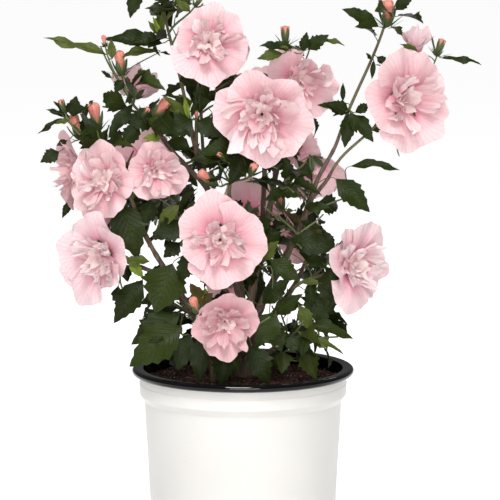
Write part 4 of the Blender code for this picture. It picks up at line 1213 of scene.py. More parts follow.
def blade(base, way, over, length, breadth, droop, fold, wave):
    """The points of one leaf blade."""
    side = way.cross(over).normalized()
    over = side.cross(way).normalized()
    toothed = smooth_step(breadth, 0.10, 0.85)
    across = LEAF_S * (LEAF_PLAIN * (1.0 - toothed) + LEAF_HALF * toothed) * breadth
    ahead = LEAF_V + np.abs(LEAF_S) * LEAF_AHEAD
    lift = fold * np.abs(across) - droop * LEAF_V ** 2 + 0.12 * LEAF_V * droop
    curl = np.sin(LEAF_V * 13.0 + wave) * np.sign(LEAF_S + 0.1) + np.sin(LEAF_V * 7.0 - wave)
    lift = lift + LEAF_CURL * curl * LEAF_S ** 2 * np.sin(math.pi * LEAF_V)
    shorter = 1.0 - DROOP_SHORTENS * abs(droop) * LEAF_V
    return (np.array(base) + np.outer(ahead * shorter, way) * length
            + np.outer(across, side) * length + np.outer(lift, over) * length)


# %% [markdown]
# Twigs and stalks are tubes as well, but there are hundreds of them, and to extrude each ring by
# ring would be slow.  So one straight tube is made for each number of rings, and a twig is
# that tube with its rings set along the twig's own path.

# %% Twigs and stalks
def tube_pattern(sides, steps):
    """The points and faces of a tube whose rings stand at heights 0, 1, 2 and so on."""
    shape = bmesh.new()
    straight = Limb([UP * step for step in range(steps + 1)], [UP] * (steps + 1),
                    [1.0] * (steps + 1))
    tube(shape, straight, sides)
    return pattern(shape)


PATTERNS = {}


def add_twig(joined, limb, sides, paint):
    """One twig or stalk: the tube pattern bent along its path."""
    steps = len(limb.path) - 1
    if (sides, steps) not in PATTERNS:
        PATTERNS[sides, steps] = tube_pattern(sides, steps)
    points, faces = PATTERNS[sides, steps]
    ring = np.rint(points[:, 2]).astype(int)
    side = square_to(limb.ways[0])
    sides_at = []
    for way in limb.ways:
        side = (side - way * side.dot(way)).normalized()
        sides_at.append((*side, *way.cross(side)))
    frame_at = np.array(sides_at)[ring]
    size = np.array(limb.radii)[ring][:, None]
    spots = np.array([tuple(spot) for spot in limb.path])[ring]
    placed = spots + (frame_at[:, :3] * points[:, :1] + frame_at[:, 3:] * points[:, 1:2]) * size
    joined.add(placed, faces, paint=paint)


# %% [markdown]
# Each mass now grows.  First comes its wood: one stem that goes on from the bough, and shoots that
# leave it, each from the place that gives the shortest and straightest way to its end.  The stem is
# olive and the shoots are green.  Twigs, leaves, buds and blooms go into joined meshes, each kind
# apart, because thousands of single objects would be slow.

# %% The wood of a mass
GOLDEN = math.radians(137.5)
STEM_RADIUS = 0.0021
STEM_TIP = 0.0014
TWIG_RADIUS = 0.0013
TWIG_TIP = 0.0009
STALK_RADIUS = 0.00055
STEM_SIDES, SHOOT_SIDES, STALK_SIDES = 7, 6, 4
SHOOT_PLACES = [0.2 + 0.12 * step for step in range(7)]
TURN_COST = 1.7
STALK_STEP = 0.005
STALK_OVERLAP = 0.02
FILL_LENGTH = 0.050
FILL_TRIES = 8
SEED = 7
OLIVE_TWIG, GREEN_TWIG = 0, 1

twigs = Joined()


class Wood:
    """The stem and the shoots of one mass."""

    def __init__(self, name):
        self.name = name
        self.row = MASSES[name]
        self.dice = random.Random(SEED + list(MASSES).index(name))
        self.shoots = []
        self.middles = []
        self.heart = mm(*self.row.heart)
        foot, leaving, thick = along(limbs[self.row.bough], self.row.along)
        outward = (self.heart - foot).normalized()
        if self.row.along < 1.0:
            leaving = (leaving * 0.3 + outward).normalized()
        arriving = (outward + UP * 0.4).normalized()
        bent = bend(foot, leaving, self.heart, arriving, TWIG_STEP)
        self.stem = tapered(*bent, min(STEM_RADIUS, thick * 0.95), STEM_TIP)
        self.length = (self.heart - foot).length
        add_twig(twigs, self.stem, STEM_SIDES, OLIVE_TWIG)

    def shoot(self, end, arriving, foot=TWIG_RADIUS, tip=TWIG_TIP):
        """A shoot from the best place on the stem to an end."""
        def cost(part):
            spot, way, _ = along(self.stem, part)
            return (end - spot).length * (TURN_COST - way.dot((end - spot).normalized()))
        spot, way, thick = along(self.stem, min(SHOOT_PLACES, key=cost))
        leaving = (way * 0.4 + (end - spot).normalized()).normalized()
        bent = bend(spot, leaving, end, arriving.normalized(), TWIG_STEP)
        shoot = tapered(*bent, min(foot, thick * 0.9), tip)
        self.shoots.append(shoot)
        add_twig(twigs, shoot, SHOOT_SIDES, GREEN_TWIG)

    def fill(self, index):
        """A shoot that leaves the stem at the next golden angle, if it fits."""
        spot, way, _ = along(self.stem, (index + 0.6) / self.row.fill)
        side = square_to(way)
        for attempt in range(FILL_TRIES):
            turn = index * GOLDEN + attempt * math.tau / FILL_TRIES
            out = side * math.cos(turn) + way.cross(side) * math.sin(turn)
            reach = (out + way * 0.5 + UP * 0.25).normalized()
            end = spot + reach * FILL_LENGTH * self.dice.uniform(0.8, 1.2)
            tests = np.array([tuple(spot.lerp(end, 0.5)), tuple(end)])
            fits = spaces.holds(self.name, tests) and spaces.clear(tests)
            if fits and spaces.off_blooms(tests[1:]):
                self.shoot(end, reach)
                return


# %% [markdown]
# Then come the leaves.  They stand round each shoot at the golden angle, so that none shades the
# one below, and a leaf that doesn't fit is tried further round and then smaller.  Leaves could be
# scattered over the shoots at random, but then they would cut through the blooms and each other.

# %% The leaves of a mass
LEAF_GAP = 0.0118
LEAF_FIRST = 0.010
LEAF_LENGTH = 0.044
LEAF_TRIES = 8
LEAF_SIZES = (1.0, 0.8, 0.6)
LEAF_TEST_STEP = 6
LIME_CHANCE = 0.30
BRONZE_CHANCE = 0.03
# The least and most of a leaf's sink, stalk, breadth, droop and fold, as parts of its length.
SINKS = (0.05, 0.75)
STALKS = (0.22, 0.40)
BREADTHS = (0.8, 1.15)
DROOPS, PLACED_DROOPS = (0.05, 0.60), (0.12, 0.36)
FOLDS, PLACED_FOLDS = (0.10, 0.75), (0.1, 0.4)
OUTER_PLACES = 8
OUTER_TRIES = 4
OUTER_REACH = 1.2
OUTER_BLADE = 0.72
CROWD = 0.0105
TIP_FALL = 0.88
leaves = Joined()


class Leafy(Wood):
    """Wood with its leaves."""

    def leaf(self, spot, way, size, tone, aim=None, free=False):
        """One leaf on its stalk, if it fits there."""
        dice = self.dice
        sink = UP * -dice.uniform(*SINKS)
        stalk_end = spot + way * size * dice.uniform(*STALKS)
        heading = (way + sink).normalized() if aim is None else (aim - stalk_end).normalized()
        length = size if aim is None else (aim - stalk_end).length
        outward = Vector((stalk_end.x, stalk_end.y - 0.03, 0.0)).normalized()
        chance = Vector((dice.uniform(-1, 1), dice.uniform(-1, 1), dice.uniform(-1, 1)))
        over = UP * 0.55 + outward * 0.60 + chance * 0.55
        over = over - heading * over.dot(heading)
        if over.length < 0.1:
            over = square_to(heading)
        points = blade(stalk_end, heading, over.normalized(), length,
                       LEAF_BREADTH * dice.uniform(*BREADTHS), dice.uniform(*DROOPS),
                       dice.uniform(*FOLDS), dice.uniform(0.0, 6.0))
        tests = points[::LEAF_TEST_STEP]
        middle = points.mean(0)
        if not free:
            if not (spaces.holds(self.name, tests) and spaces.clear(tests)):
                return False
            if any(((middle - other) ** 2).sum() < CROWD ** 2 for other in self.middles):
                return False
        if not spaces.off_blooms(tests):
            return False
        self.middles.append(middle)
        leaves.add(points, LEAF_FACES, LEAF_MAPS[tone])
        bent = bend(spot, (way + UP * 0.3).normalized(),
                    stalk_end + heading * length * STALK_OVERLAP, heading, STALK_STEP)
        stalk = tapered(*bent, STALK_RADIUS * 1.15, STALK_RADIUS * 0.8)
        add_twig(twigs, stalk, STALK_SIDES, GREEN_TWIG)
        return True

    def placed_leaf(self, base, tip, breadth, front, tone):
        """A listed leaf, set down on a stalk from the nearest place on the mass's wood."""
        dice = self.dice
        base, tip = mm(*base), mm(*tip)
        wood = [node for limb in [self.stem, *self.shoots] for node in zip(limb.path, limb.ways)]
        spot, way = min(wood, key=lambda node: (node[0] - base).length)
        heading = (tip - base).normalized()
        over = Vector((0.0, -1.0, 0.25)) * front + Vector((0.1, -0.1, 1.0)) * (1.0 - front)
        over = (over - heading * over.dot(heading)).normalized()
        droop = dice.uniform(*PLACED_DROOPS)
        heading = (tip + over * droop * TIP_FALL * (tip - base).length - base).normalized()
        length = (tip - base).length / (1.0 - DROOP_SHORTENS * droop)
        points = blade(base, heading, over, length, breadth, droop, dice.uniform(*PLACED_FOLDS),
                       dice.uniform(0.0, 6.0))
        self.middles.append(points.mean(0))
        leaves.add(points, LEAF_FACES, LEAF_MAPS[tone])
        leaving = (way * 0.5 + (base - spot).normalized()).normalized()
        bent = bend(spot, leaving, base + heading * length * STALK_OVERLAP, heading, STALK_STEP)
        stalk = tapered(*bent, STALK_RADIUS * 1.25, STALK_RADIUS * 0.9)
        add_twig(twigs, stalk, STALK_SIDES, GREEN_TWIG)

    def leaves_along(self, shoot, first):
        """Leaves in turn around a shoot, each at the first angle where it fits."""
        length = sum((b - a).length for a, b in zip(shoot.path, shoot.path[1:]))
        count = max(1, round((length - first) / (LEAF_GAP * self.row.sparse)))
        for index in range(count):
            part = min(0.97, (first + index * (length - first) / count) / length)
            spot, way, _ = along(shoot, part)
            side = square_to(way)
            size = LEAF_LENGTH * self.dice.uniform(0.75, 1.12) * (1.0 - 0.45 * part ** 2)
            size *= self.row.small
            start = self.dice.uniform(0.0, math.tau)
            tone = self.dice.choice(DARK_TONES)
            if part > 0.7 and self.dice.random() < LIME_CHANCE:
                tone = self.dice.choice((MID_TONE, MID_TONE, LIME_TONE))
            elif self.dice.random() < BRONZE_CHANCE:
                tone = BRONZE_TONE
            for less, attempt in itertools.product(LEAF_SIZES, range(LEAF_TRIES)):
                turn = start + index * GOLDEN + attempt * math.tau / LEAF_TRIES
                out = side * math.cos(turn) + way.cross(side) * math.sin(turn)
                reach = (way * 0.5 + out).normalized()
                if self.leaf(spot, reach, size * less, tone):
                    break

    def outer_leaf(self, tip):
        """A leaf to a given tip, from the place on a shoot that is a leaf's length away."""
        parts = [step / OUTER_PLACES for step in range(1, OUTER_PLACES + 1)]
        reach = LEAF_LENGTH * OUTER_REACH
        places = [(abs((along(limb, part)[0] - tip).length - reach), part, limb)
                  for limb in self.shoots + [self.stem] for part in parts]
        for _, part, limb in sorted(places, key=lambda place: place[0])[:OUTER_TRIES]:
            spot, way, _ = along(limb, part)
            heading = (tip - spot).normalized()
            tone = self.dice.choice(DARK_TONES)
            length = (tip - spot).length * OUTER_BLADE
            if self.leaf(spot, heading, length, tone, tip, free=True):
                return


# %% [markdown]
# Last, each mass puts it all together in the order that matters: what has to show comes first and
# what fills in comes after, so that a chance leaf never takes the place of a bloom.  A calyx
# almost hides a closed bud, and only its foot in an open one.

# %% Grow the masses
# A bloom's stalk ends this part of its diameter behind its middle, a bud's this part of its length.
BLOOM_FOOT = 0.26
BLOOM_STALK = (0.0016, 0.0013)
BUD_FOOT = 0.48
BUD_LIFT = 1.3
CLOSED_COVER, OPEN_COVER = 0.90, 0.60
bloom_list = []
bud_list = []


class Mass(Leafy):
    """One mass of foliage, grown by its rule into the joined meshes."""

    def grow(self):
        """Shoots for blooms, buds, tips and outer leaves first, then shoots that fill in."""
        for bloom in self.row.blooms:
            way = facing(bloom.azimuth, bloom.elevation)
            foot = mm(*bloom.place) - way * bloom.diameter * MM * BLOOM_FOOT
            self.shoot(foot, way, *BLOOM_STALK)
            bloom_list.append(bloom)
        rows = [(*row, CLOSED_COVER if row[0] in GREEN_BUDS else OPEN_COVER)
                for row in self.row.buds]
        for place, length, cover in rows + SMALL_BUDS.get(self.name, []):
            centre = mm(*place)
            way = ((centre - self.heart).normalized() + UP * BUD_LIFT).normalized()
            self.shoot(centre - way * length * MM * BUD_FOOT, way)
            bud_list.append((centre, way, length * MM, cover))
        for place in self.row.tips:
            end = mm(*place)
            self.shoot(end, (end - self.heart).normalized() + UP * 0.4)
        for index in range(self.row.fill):
            self.fill(index)
        for row in PLACED.get(self.name, ()):
            self.placed_leaf(*row)
        if self.name not in PLACED:
            for place in self.row.leaves:
                self.outer_leaf(mm(*place))
        for shoot in self.shoots:
            self.leaves_along(shoot, LEAF_FIRST)
        self.leaves_along(self.stem, max(self.row.bare * self.length, LEAF_FIRST))


for name in MASSES:
    Mass(name).grow()
print("leaves:", len(leaves.points), "blooms:", len(bloom_list), "buds:", len(bud_list))


# %% [markdown]
# A leaf is dark and a little glossy, with a paler midrib and side veins that run out to the teeth.
# Every leaf lies in one of eight cells of one small map, so the finish is worked out once for each
# cell, from the place across and along the leaf, and holds for hundreds of leaves.

# %% Leaf finish
LEAF_TONES = [(0.010, 0.0175, 0.002), (0.015, 0.026, 0.003), (0.023, 0.036, 0.005),
              (0.012, 0.017, 0.003), (0.034, 0.049, 0.008), (0.084, 0.106, 0.020),
              (0.180, 0.250, 0.030), (0.120, 0.090, 0.026)]


def map_cells(finish):
    """Across (-1 to 1) and along (0 to 1) inside a cell, the cell's number, and the map itself."""
    where = finish.node("ShaderNodeUVMap", {"uv_map": "OFBake"}, output="UV")
    parts = finish.node("ShaderNodeSeparateXYZ", inputs=[where])
    u = parts * MAP_COLUMNS
    v = Value(finish, parts.socket.node.outputs["Y"]) * MAP_ROWS
    column, row = u.maths("FLOOR"), v.maths("FLOOR")
    inner = 1.0 / (1.0 - 2.0 * MAP_EDGE)
    across = ((u - column) - 0.5) * (2.0 * inner)
    up = ((v - row) - MAP_EDGE) * inner
    return across, up, column + row * MAP_COLUMNS, where


def tones(finish, number, colors):
    """The colour of each cell."""
    stops = [(index / len(colors), color) for index, color in enumerate(colors)]
    return finish.ramp((number + 0.5) / len(colors), stops, "CONSTANT")


leaf_finish = Finish("leaf_green", roughness=0.42, IOR=1.33, Specular_IOR_Level=0.3)
across, up, number, where = map_cells(leaf_finish)
fleck = leaf_finish.noise(where, 60.0, 4.0, 0.6)
away = abs(across)
rib = 1.0 - (away / 0.055).maths("MINIMUM", 1.0)
run = (up - away * 0.30) * 9.0 + number * 0.37
vein = 1.0 - (abs(run.maths("FRACT") - 0.5) / 0.085).maths("MINIMUM", 1.0)
vein = vein * (1.0 - (away * 0.9).maths("MINIMUM", 1.0))
color = tones(leaf_finish, number, LEAF_TONES)
lighter = leaf_finish.blend((fleck - 0.40) * 1.0, color, (0.052, 0.071, 0.013))
veined = leaf_finish.blend((rib + vein * 0.6).maths("MINIMUM", 1.0) * 0.40, lighter,
                           (0.110, 0.135, 0.036))
leaf_finish.feed(Base_Color=veined, Roughness=0.34 + fleck * 0.22)
leaf_finish.relief((rib + vein).maths("MINIMUM", 1.0), 0.0009, 0.8)
twig_finishes = [Finish("twig_olive", (0.120, 0.105, 0.048), 0.65),
                 Finish("twig_green", (0.110, 0.135, 0.042), 0.55)]
show("leaves", leaves.mesh(), [leaf_finish],
     [name for name in MASSES if not MASSES[name].blooms])
show("twigs", twigs.mesh(), twig_finishes)


# %% [markdown]
# Under every bud and bloom sits a green calyx: a cup of five pointed sepals, with a ring of narrow
# bracts that curl away below it.  A cup with a jagged edge would do from afar, but single sepals
# can open under a bloom and close round a bud, so each one is a small grid of its own.

# %% Calyces
SEPAL_COUNT = 5
SEPAL_HALF = 0.66
SEPAL_TAPER, CLOSED_TAPER = 2.2, 4.0
BRACT_COUNT = 7
BRACT_HALF = 0.0011
BRACT_CURLS = (0.5, 1.15)
SEPAL_S, SEPAL_T, SEPAL_FACES = sheet(4, 5)
BRACT_S, BRACT_T, BRACT_FACES = sheet(2, 4)
CALYX_GREEN, BRACT_GREEN = 0, 1

calyces = Joined()


def frame_of(way, spin=0.0):
    """Two directions square to a way, turned about it."""
    side = square_to(way)
    first = side * math.cos(spin) + way.cross(side) * math.sin(spin)
    return first, way.cross(first)


def placed(centre, frame, x, y, z):
    """Points from their places along three directions."""
    return (np.array(centre) + np.outer(x, frame[0]) + np.outer(y, frame[1])
            + np.outer(z, frame[2]))


def add_calyx(centre, way, size, reach, open_angle, spin, taper=SEPAL_TAPER):
    """Five sepals and a ring of bracts; size is how wide they stand, reach how long they are."""
    axes = (*frame_of(way, spin), way)
    for index in range(SEPAL_COUNT):
        turn = index * math.tau / SEPAL_COUNT
        half = SEPAL_HALF * (1.0 - SEPAL_T ** taper) + 0.02
        angle = turn + SEPAL_S * half
        lean = math.sin(open_angle) * SEPAL_T * reach
        wide = size * 1.08 * np.sin(np.clip(SEPAL_T * 1.5 + 0.2, 0, math.pi / 2)) ** 0.6 + lean
        wide = wide * (1.0 + 0.06 * np.cos(SEPAL_S * 3.0))
        high = reach * math.cos(open_angle) * SEPAL_T - size * 0.35
        calyces.add(placed(centre, axes, wide * np.cos(angle), wide * np.sin(angle), high),
                    SEPAL_FACES, paint=CALYX_GREEN)
    for index in range(BRACT_COUNT):
        turn = index * math.tau / BRACT_COUNT + 0.2
        curl = dice.uniform(*BRACT_CURLS)
        half = BRACT_HALF * (1.0 - BRACT_T ** 1.5) + 0.0002
        wide = size * 0.75 + reach * 0.75 * math.sin(curl) * BRACT_T + size * 0.4 * BRACT_T ** 2
        high = reach * 0.72 * math.cos(curl) * BRACT_T - size * 0.4
        x = wide * math.cos(turn) - BRACT_S * half * math.sin(turn)
        y = wide * math.sin(turn) + BRACT_S * half * math.cos(turn)
        calyces.add(placed(centre, axes, x, y, high), BRACT_FACES, paint=BRACT_GREEN)


# %% [markdown]
# A bud is a furled bloom: coral petals wound round each other.  Modelling each petal would be lost
# at this size, so the bud is a ball drawn out to a blunt, ragged top, with ridges that wind up it.

# %% Buds
BUD_BREADTH = 0.21
BUD_SWELL = 1.12
BUD_WIND = 1.2
ball = bmesh.new()
bmesh.ops.create_uvsphere(ball, u_segments=20, v_segments=14, radius=1.0)
BUD_BALL_POINTS, BUD_BALL_FACES = pattern(ball)
BUD_T = np.arccos(np.clip(-BUD_BALL_POINTS[:, 2], -1.0, 1.0)) / math.pi
BUD_TURN = np.arctan2(BUD_BALL_POINTS[:, 1], BUD_BALL_POINTS[:, 0])
buds = Joined()


def add_bud(centre, way, length, cover):
    """A bud in its calyx; the centre is the middle of the whole bud."""
    axes = (*frame_of(way, dice.uniform(0, math.tau)), way)
    foot = centre - way * length * 0.5
    swell = BUD_SWELL * BUD_T ** 0.55 * np.sqrt(1.0 - BUD_T ** 9)
    folds = np.abs(np.sin(2.5 * BUD_TURN + 4.0 * BUD_T))
    ridges = 0.86 + 0.26 * folds * BUD_T
    rise = length * (BUD_T - 0.10 * smooth_step(BUD_T, 0.72, 1.0) * (1.0 - folds))
    wide = length * BUD_BREADTH * swell * ridges
    wound = BUD_TURN + BUD_T * BUD_WIND
    places = np.stack([BUD_TURN / math.tau + 0.5, BUD_T], 1) * 0.96 + 0.02
    buds.add(placed(foot, axes, wide * np.cos(wound), wide * np.sin(wound), rise),
             BUD_BALL_FACES, places)
    closed = cover > OPEN_COVER + 0.2
    add_calyx(foot + way * length * 0.10, way, length * BUD_BREADTH * 1.02, length * cover,
              -0.03 if closed else 0.12, dice.uniform(0, 1),
              CLOSED_TAPER if closed else SEPAL_TAPER)


for row in bud_list:
    add_bud(*row)
print("calyx and bud copies:", len(calyces.points), len(buds.points))


# %% [markdown]
# Coral deepens up the bud from a green foot, and paler streaks run along it.  Both follow the
# bud's own map, whose height is the height up the bud.

# %% Bud finish
coral = Finish("bud_coral", roughness=0.5)
where = coral.node("ShaderNodeUVMap", {"uv_map": "OFBake"}, output="UV")
parts = coral.node("ShaderNodeSeparateXYZ", inputs=[where])
up = Value(coral, parts.socket.node.outputs["Y"])
stripe = coral.node("ShaderNodeTexNoise", inputs={
    "Vector": coral.stretched(where, (26.0, 3.0, 1.0)), "Scale": 1.0, "Detail": 3.0})
tint = coral.ramp(up, [(0.25, (0.30, 0.24, 0.09)), (0.42, (0.60, 0.20, 0.12)),
                       (0.72, (0.66, 0.17, 0.12)), (0.98, (0.68, 0.25, 0.19))])
coral.feed(Base_Color=coral.blend((stripe - 0.38) * 2.0, tint, (0.78, 0.38, 0.31)))
green_finishes = [Finish("calyx_green", (0.060, 0.090, 0.020), 0.5),
                  Finish("bract_green", (0.034, 0.054, 0.013), 0.5)]


# %% [markdown]
# A bloom opens from its calyx as five broad petals that overlap like a fan, each with one edge
# over its neighbour and one under.  Their rims are ruffled and fine ridges run out from the
# throat.  Inside them a tuft of smaller, crumpled petals hides the middle, which is what makes the
# bloom double.  Cloth simulation could crumple them, but dozens of thin sheets packed that close
# would tangle, so petals are grids bent by sums, each with its own chance waves.

# %% Petals
PETAL_S, PETAL_T, PETAL_FACES = sheet(20, 13)
FLAP_S, FLAP_T, FLAP_FACES = sheet(12, 9)
TUFT_S, TUFT_T, TUFT_FACES = sheet(6, 6)
petals = Joined()
inner_petals = Joined()
OUTER_CELLS = (0, 1, 2, 3)
# The darkest tint is partly a deeper pink and partly painted shade, for blooms that sit in shade.
TINTS = {"pale": ((0,), (4,)), "even": ((1, 2), (5, 5, 4)), "deep_shaded": ((3,), (6,))}
CREAM_CELL = 7
CUP_DEPTH = 0.25
TUFT_SINK = 0.17


def phase():
    """A chance place on a wave."""
    return dice.uniform(0, 6.3)


def waves(s, t, size):
    """Chance ruffles that grow towards the rim."""
    low = np.sin(s * dice.uniform(2.2, 3.6) + phase())
    mid = np.sin(s * dice.uniform(5.0, 7.5) + phase() + t * dice.uniform(-2, 2))
    high = np.sin(s * dice.uniform(10.0, 14.0) + phase() + t * 2.0)
    return size * (t ** 1.5 * (low + 0.75 * mid) + 0.55 * t ** 2.5 * high)


def wavy_rim(s, t):
    """How far the rim of a petal reaches, with chance lobes, one corner and fine scallops."""
    lobes = 0.045 * np.sin(s * 3.4 + phase())
    lobes = lobes + 0.03 * np.sin(s * 8 + dice.uniform(0, 6))
    corner = 0.085 * np.exp(-((s - dice.uniform(-0.6, 0.6)) / 0.30) ** 2)
    scallops = 0.014 * np.sin(s * 19 + phase()) * smooth_step(t, 0.75, 1.0)
    return 1.0 - 0.20 * np.abs(s) ** 2.4 * t + (lobes + corner) * t ** 2 + scallops


def fan_petal(centre, axes, wide, turn, half, reach, lift, ruffle, spread, number):
    """A petal that lies in the cup of the bloom and fans out from its throat."""
    outer = number in OUTER_CELLS
    s, t = (PETAL_S, PETAL_T) if outer else (FLAP_S, FLAP_T)
    sway = 0.10 if outer else 0.50
    angle = turn + s * half * (0.66 + 0.34 * t) + dice.uniform(-sway, sway) * t ** 2
    out = reach * (0.06 + 0.94 * t) * wavy_rim(s, t)
    cup = -CUP_DEPTH * np.clip(1.0 - out, 0.0, 1.0) ** 1.7
    pleats = 0.006 * np.cos(s * 21.0) * np.sin(math.pi * t ** 0.8) * half
    curl = 0.0 if outer else dice.uniform(-0.07, 0.12) * t ** 3
    high = cup + lift * t + 0.035 * s * t + waves(s, t, ruffle) + pleats + curl
    lean = math.radians(90.0 * spread)
    wider = out * 0.5 * math.sin(lean) + high * 0.35 * math.cos(lean) + 0.01
    higher = high * math.sin(lean) + out * 0.5 * math.cos(lean)
    points = placed(centre, axes, wide * wider * np.cos(angle), wide * wider * np.sin(angle),
                    wide * higher)
    joined = petals if outer else inner_petals
    joined.add(points, PETAL_FACES if outer else FLAP_FACES, cell(number, s, t))


def tuft_petal(centre, axes, wide, turn, lean, length, breadth, tone):
    """A small curled petal that stands in the middle, leaning out by an angle."""
    s, t = TUFT_S, TUFT_T
    out = Vector(axes[0]) * math.cos(turn) + Vector(axes[1]) * math.sin(turn)
    across = Vector(axes[2]).cross(out)
    axis = out * math.sin(lean) + Vector(axes[2]) * math.cos(lean)
    back = out * math.cos(lean) - Vector(axes[2]) * math.sin(lean)
    half = breadth * np.sin(math.pi * (0.12 + 0.74 * t)) * (1.0 - 0.1 * t)
    curl = dice.uniform(-0.5, 0.8)
    crease = np.sin(s * dice.uniform(2.0, 3.6) + t * dice.uniform(-3, 3) + dice.uniform(0, 6))
    depth = half * (curl * s ** 2 + 0.30 * crease * t) + length * dice.uniform(-0.15, 0.35) * t ** 2
    rise = length * (t * (1.0 - 0.16 * s ** 2) + 0.05 * np.sin(s * 5 + dice.uniform(0, 6)) * t)
    foot = centre - Vector(axes[2]) * wide * TUFT_SINK + out * wide * 0.015
    points = placed(foot, (across, back, axis), s * half, depth, rise)
    inner_petals.add(points, TUFT_FACES, cell(tone, s, t))


# %% [markdown]
# No two blooms are alike.  One bloom copied about would show at once, so each has its own tint and
# fullness, and those that face the front have their own outline too.

# %% Whole blooms
# The broad petals of the blooms that face the front: the way each one points, in degrees from the
# right towards the top, and how far it reaches.
SHAPES = {
    "top": ((97, 0.94), (14, 0.96), (-45, 1.08), (-118, 1.20), (168, 0.88)),
    "right": ((100, 1.10), (46, 1.02), (-18, 0.88), (-84, 1.10), (192, 0.96)),
    "middle": ((180, 1.02), (112, 0.98), (45, 1.02), (-25, 1.14), (-100, 1.02)),
    "behind": ((136, 1.14), (74, 0.68), (-4, 1.00), (-60, 1.02), (212, 0.90)),
    "front": ((122, 1.18), (38, 1.04), (-20, 1.14), (-92, 1.16), (190, 0.96)),
    "low": ((22, 1.06), (-45, 0.88), (-112, 1.06), (184, 0.98), (98, 0.92)),
    "left": ((76, 1.00), (148, 0.94), (218, 0.98), (-84, 1.12), (-8, 0.86)),
    "near_left": ((108, 0.98), (36, 0.86), (-34, 1.08), (-106, 1.06), (180, 0.98)),
    "left_low": ((98, 0.98), (26, 0.86), (-62, 0.78), (-118, 1.16), (168, 1.02)),
    "right_low": ((66, 1.18), (4, 1.00), (-60, 0.88), (-112, 1.14), (172, 0.97), (128, 0.96)),
}
PETAL_COUNT = 5
PETAL_LAP = 1.50
PETAL_REACH = 0.90
PETAL_RUFFLE, FLAP_RUFFLE = 0.028, 0.046
# How many there are in the plainest bloom, and how many more in the fullest.
FLAP_LEAST, FLAP_MORE = 6, 10
TUFT_LEAST, TUFT_MORE = 11, 10
FLAP_HALVES = (10, 27)
FLAP_NEAR, FLAP_FAR = 0.34, 0.52
# The cream petals that stand upright in the very middle.
COLUMN_TURNS = (0.3, 2.4, 4.5)
COLUMN_LEAN = 0.12
COLUMN_LENGTH, COLUMN_BREADTH = 0.20, 0.075
CALYX_BACK, CALYX_SIZE, CALYX_REACH, CALYX_OPEN = 0.235, 0.065, 0.20, 0.62


def outer_petals(way, shape):
    """The frame of a bloom, and the turn, half width and reach of each broad petal."""
    if shape:
        first = (Vector((1, 0, 0)) - way * way.x).normalized()
        turns = sorted(SHAPES[shape])
    else:
        first = frame_of(way, dice.uniform(0, math.tau))[0]
        turns = [(index * 360 / PETAL_COUNT + dice.uniform(-6, 6), dice.uniform(0.92, 1.04))
                 for index in range(PETAL_COUNT)]
    around = [turns[-1][0] - 360] + [turn for turn, reach in turns] + [turns[0][0] + 360]
    rows = [(math.radians(turn), math.radians((after - before) / 4 * PETAL_LAP), reach)
            for (turn, reach), before, after in zip(turns, around, around[2:])]
    return (first, way.cross(first), way), rows


def add_bloom(bloom):
    """A whole bloom: broad petals, crumpled flaps, tufts in the middle and a calyx behind."""
    outer_cells, inner_cells = TINTS[bloom.tint]
    wide = bloom.diameter * MM
    centre = mm(*bloom.place)
    way = facing(bloom.azimuth, bloom.elevation)
    axes, rows = outer_petals(way, bloom.shape)
    droop = dice.uniform(-0.05, 0.0)
    for turn, half, reach in rows:
        fan_petal(centre, axes, wide, turn, half, reach * PETAL_REACH, droop, PETAL_RUFFLE,
                  bloom.spread, dice.choice(outer_cells))
    for index in range(round(FLAP_LEAST + FLAP_MORE * bloom.full)):
        far = dice.uniform(FLAP_NEAR, FLAP_FAR + FLAP_NEAR * bloom.full)
        half = math.radians(dice.uniform(*FLAP_HALVES))
        lift = 0.03 + 0.10 * (1.0 - far) + dice.uniform(0.0, 0.08)
        fan_petal(centre, axes, wide, index * GOLDEN, half, far, lift, FLAP_RUFFLE,
                  bloom.spread, dice.choice(inner_cells))
    count = round(TUFT_LEAST + TUFT_MORE * bloom.full)
    for index in range(count):
        part = index / count
        lean = math.radians(70 - 46 * part + dice.uniform(-16, 16)) * min(1.0, bloom.spread + 0.1)
        length = wide * (0.26 - 0.06 * part) * dice.uniform(0.7, 1.2)
        breadth = length * dice.uniform(0.24, 0.42)
        tone = dice.choice(inner_cells) if part < 0.5 else CREAM_CELL
        tuft_petal(centre, axes, wide, index * GOLDEN, lean, length, breadth, tone)
    for turn in COLUMN_TURNS:
        tuft_petal(centre, axes, wide, turn, COLUMN_LEAN, wide * COLUMN_LENGTH,
                   wide * COLUMN_BREADTH, CREAM_CELL)
    add_calyx(centre - way * wide * CALYX_BACK, way, wide * CALYX_SIZE, wide * CALYX_REACH,
              CALYX_OPEN, dice.uniform(0, 1))


for bloom in bloom_list:
    add_bloom(bloom)
print("broad and inner petals:", len(petals.points), len(inner_petals.points))
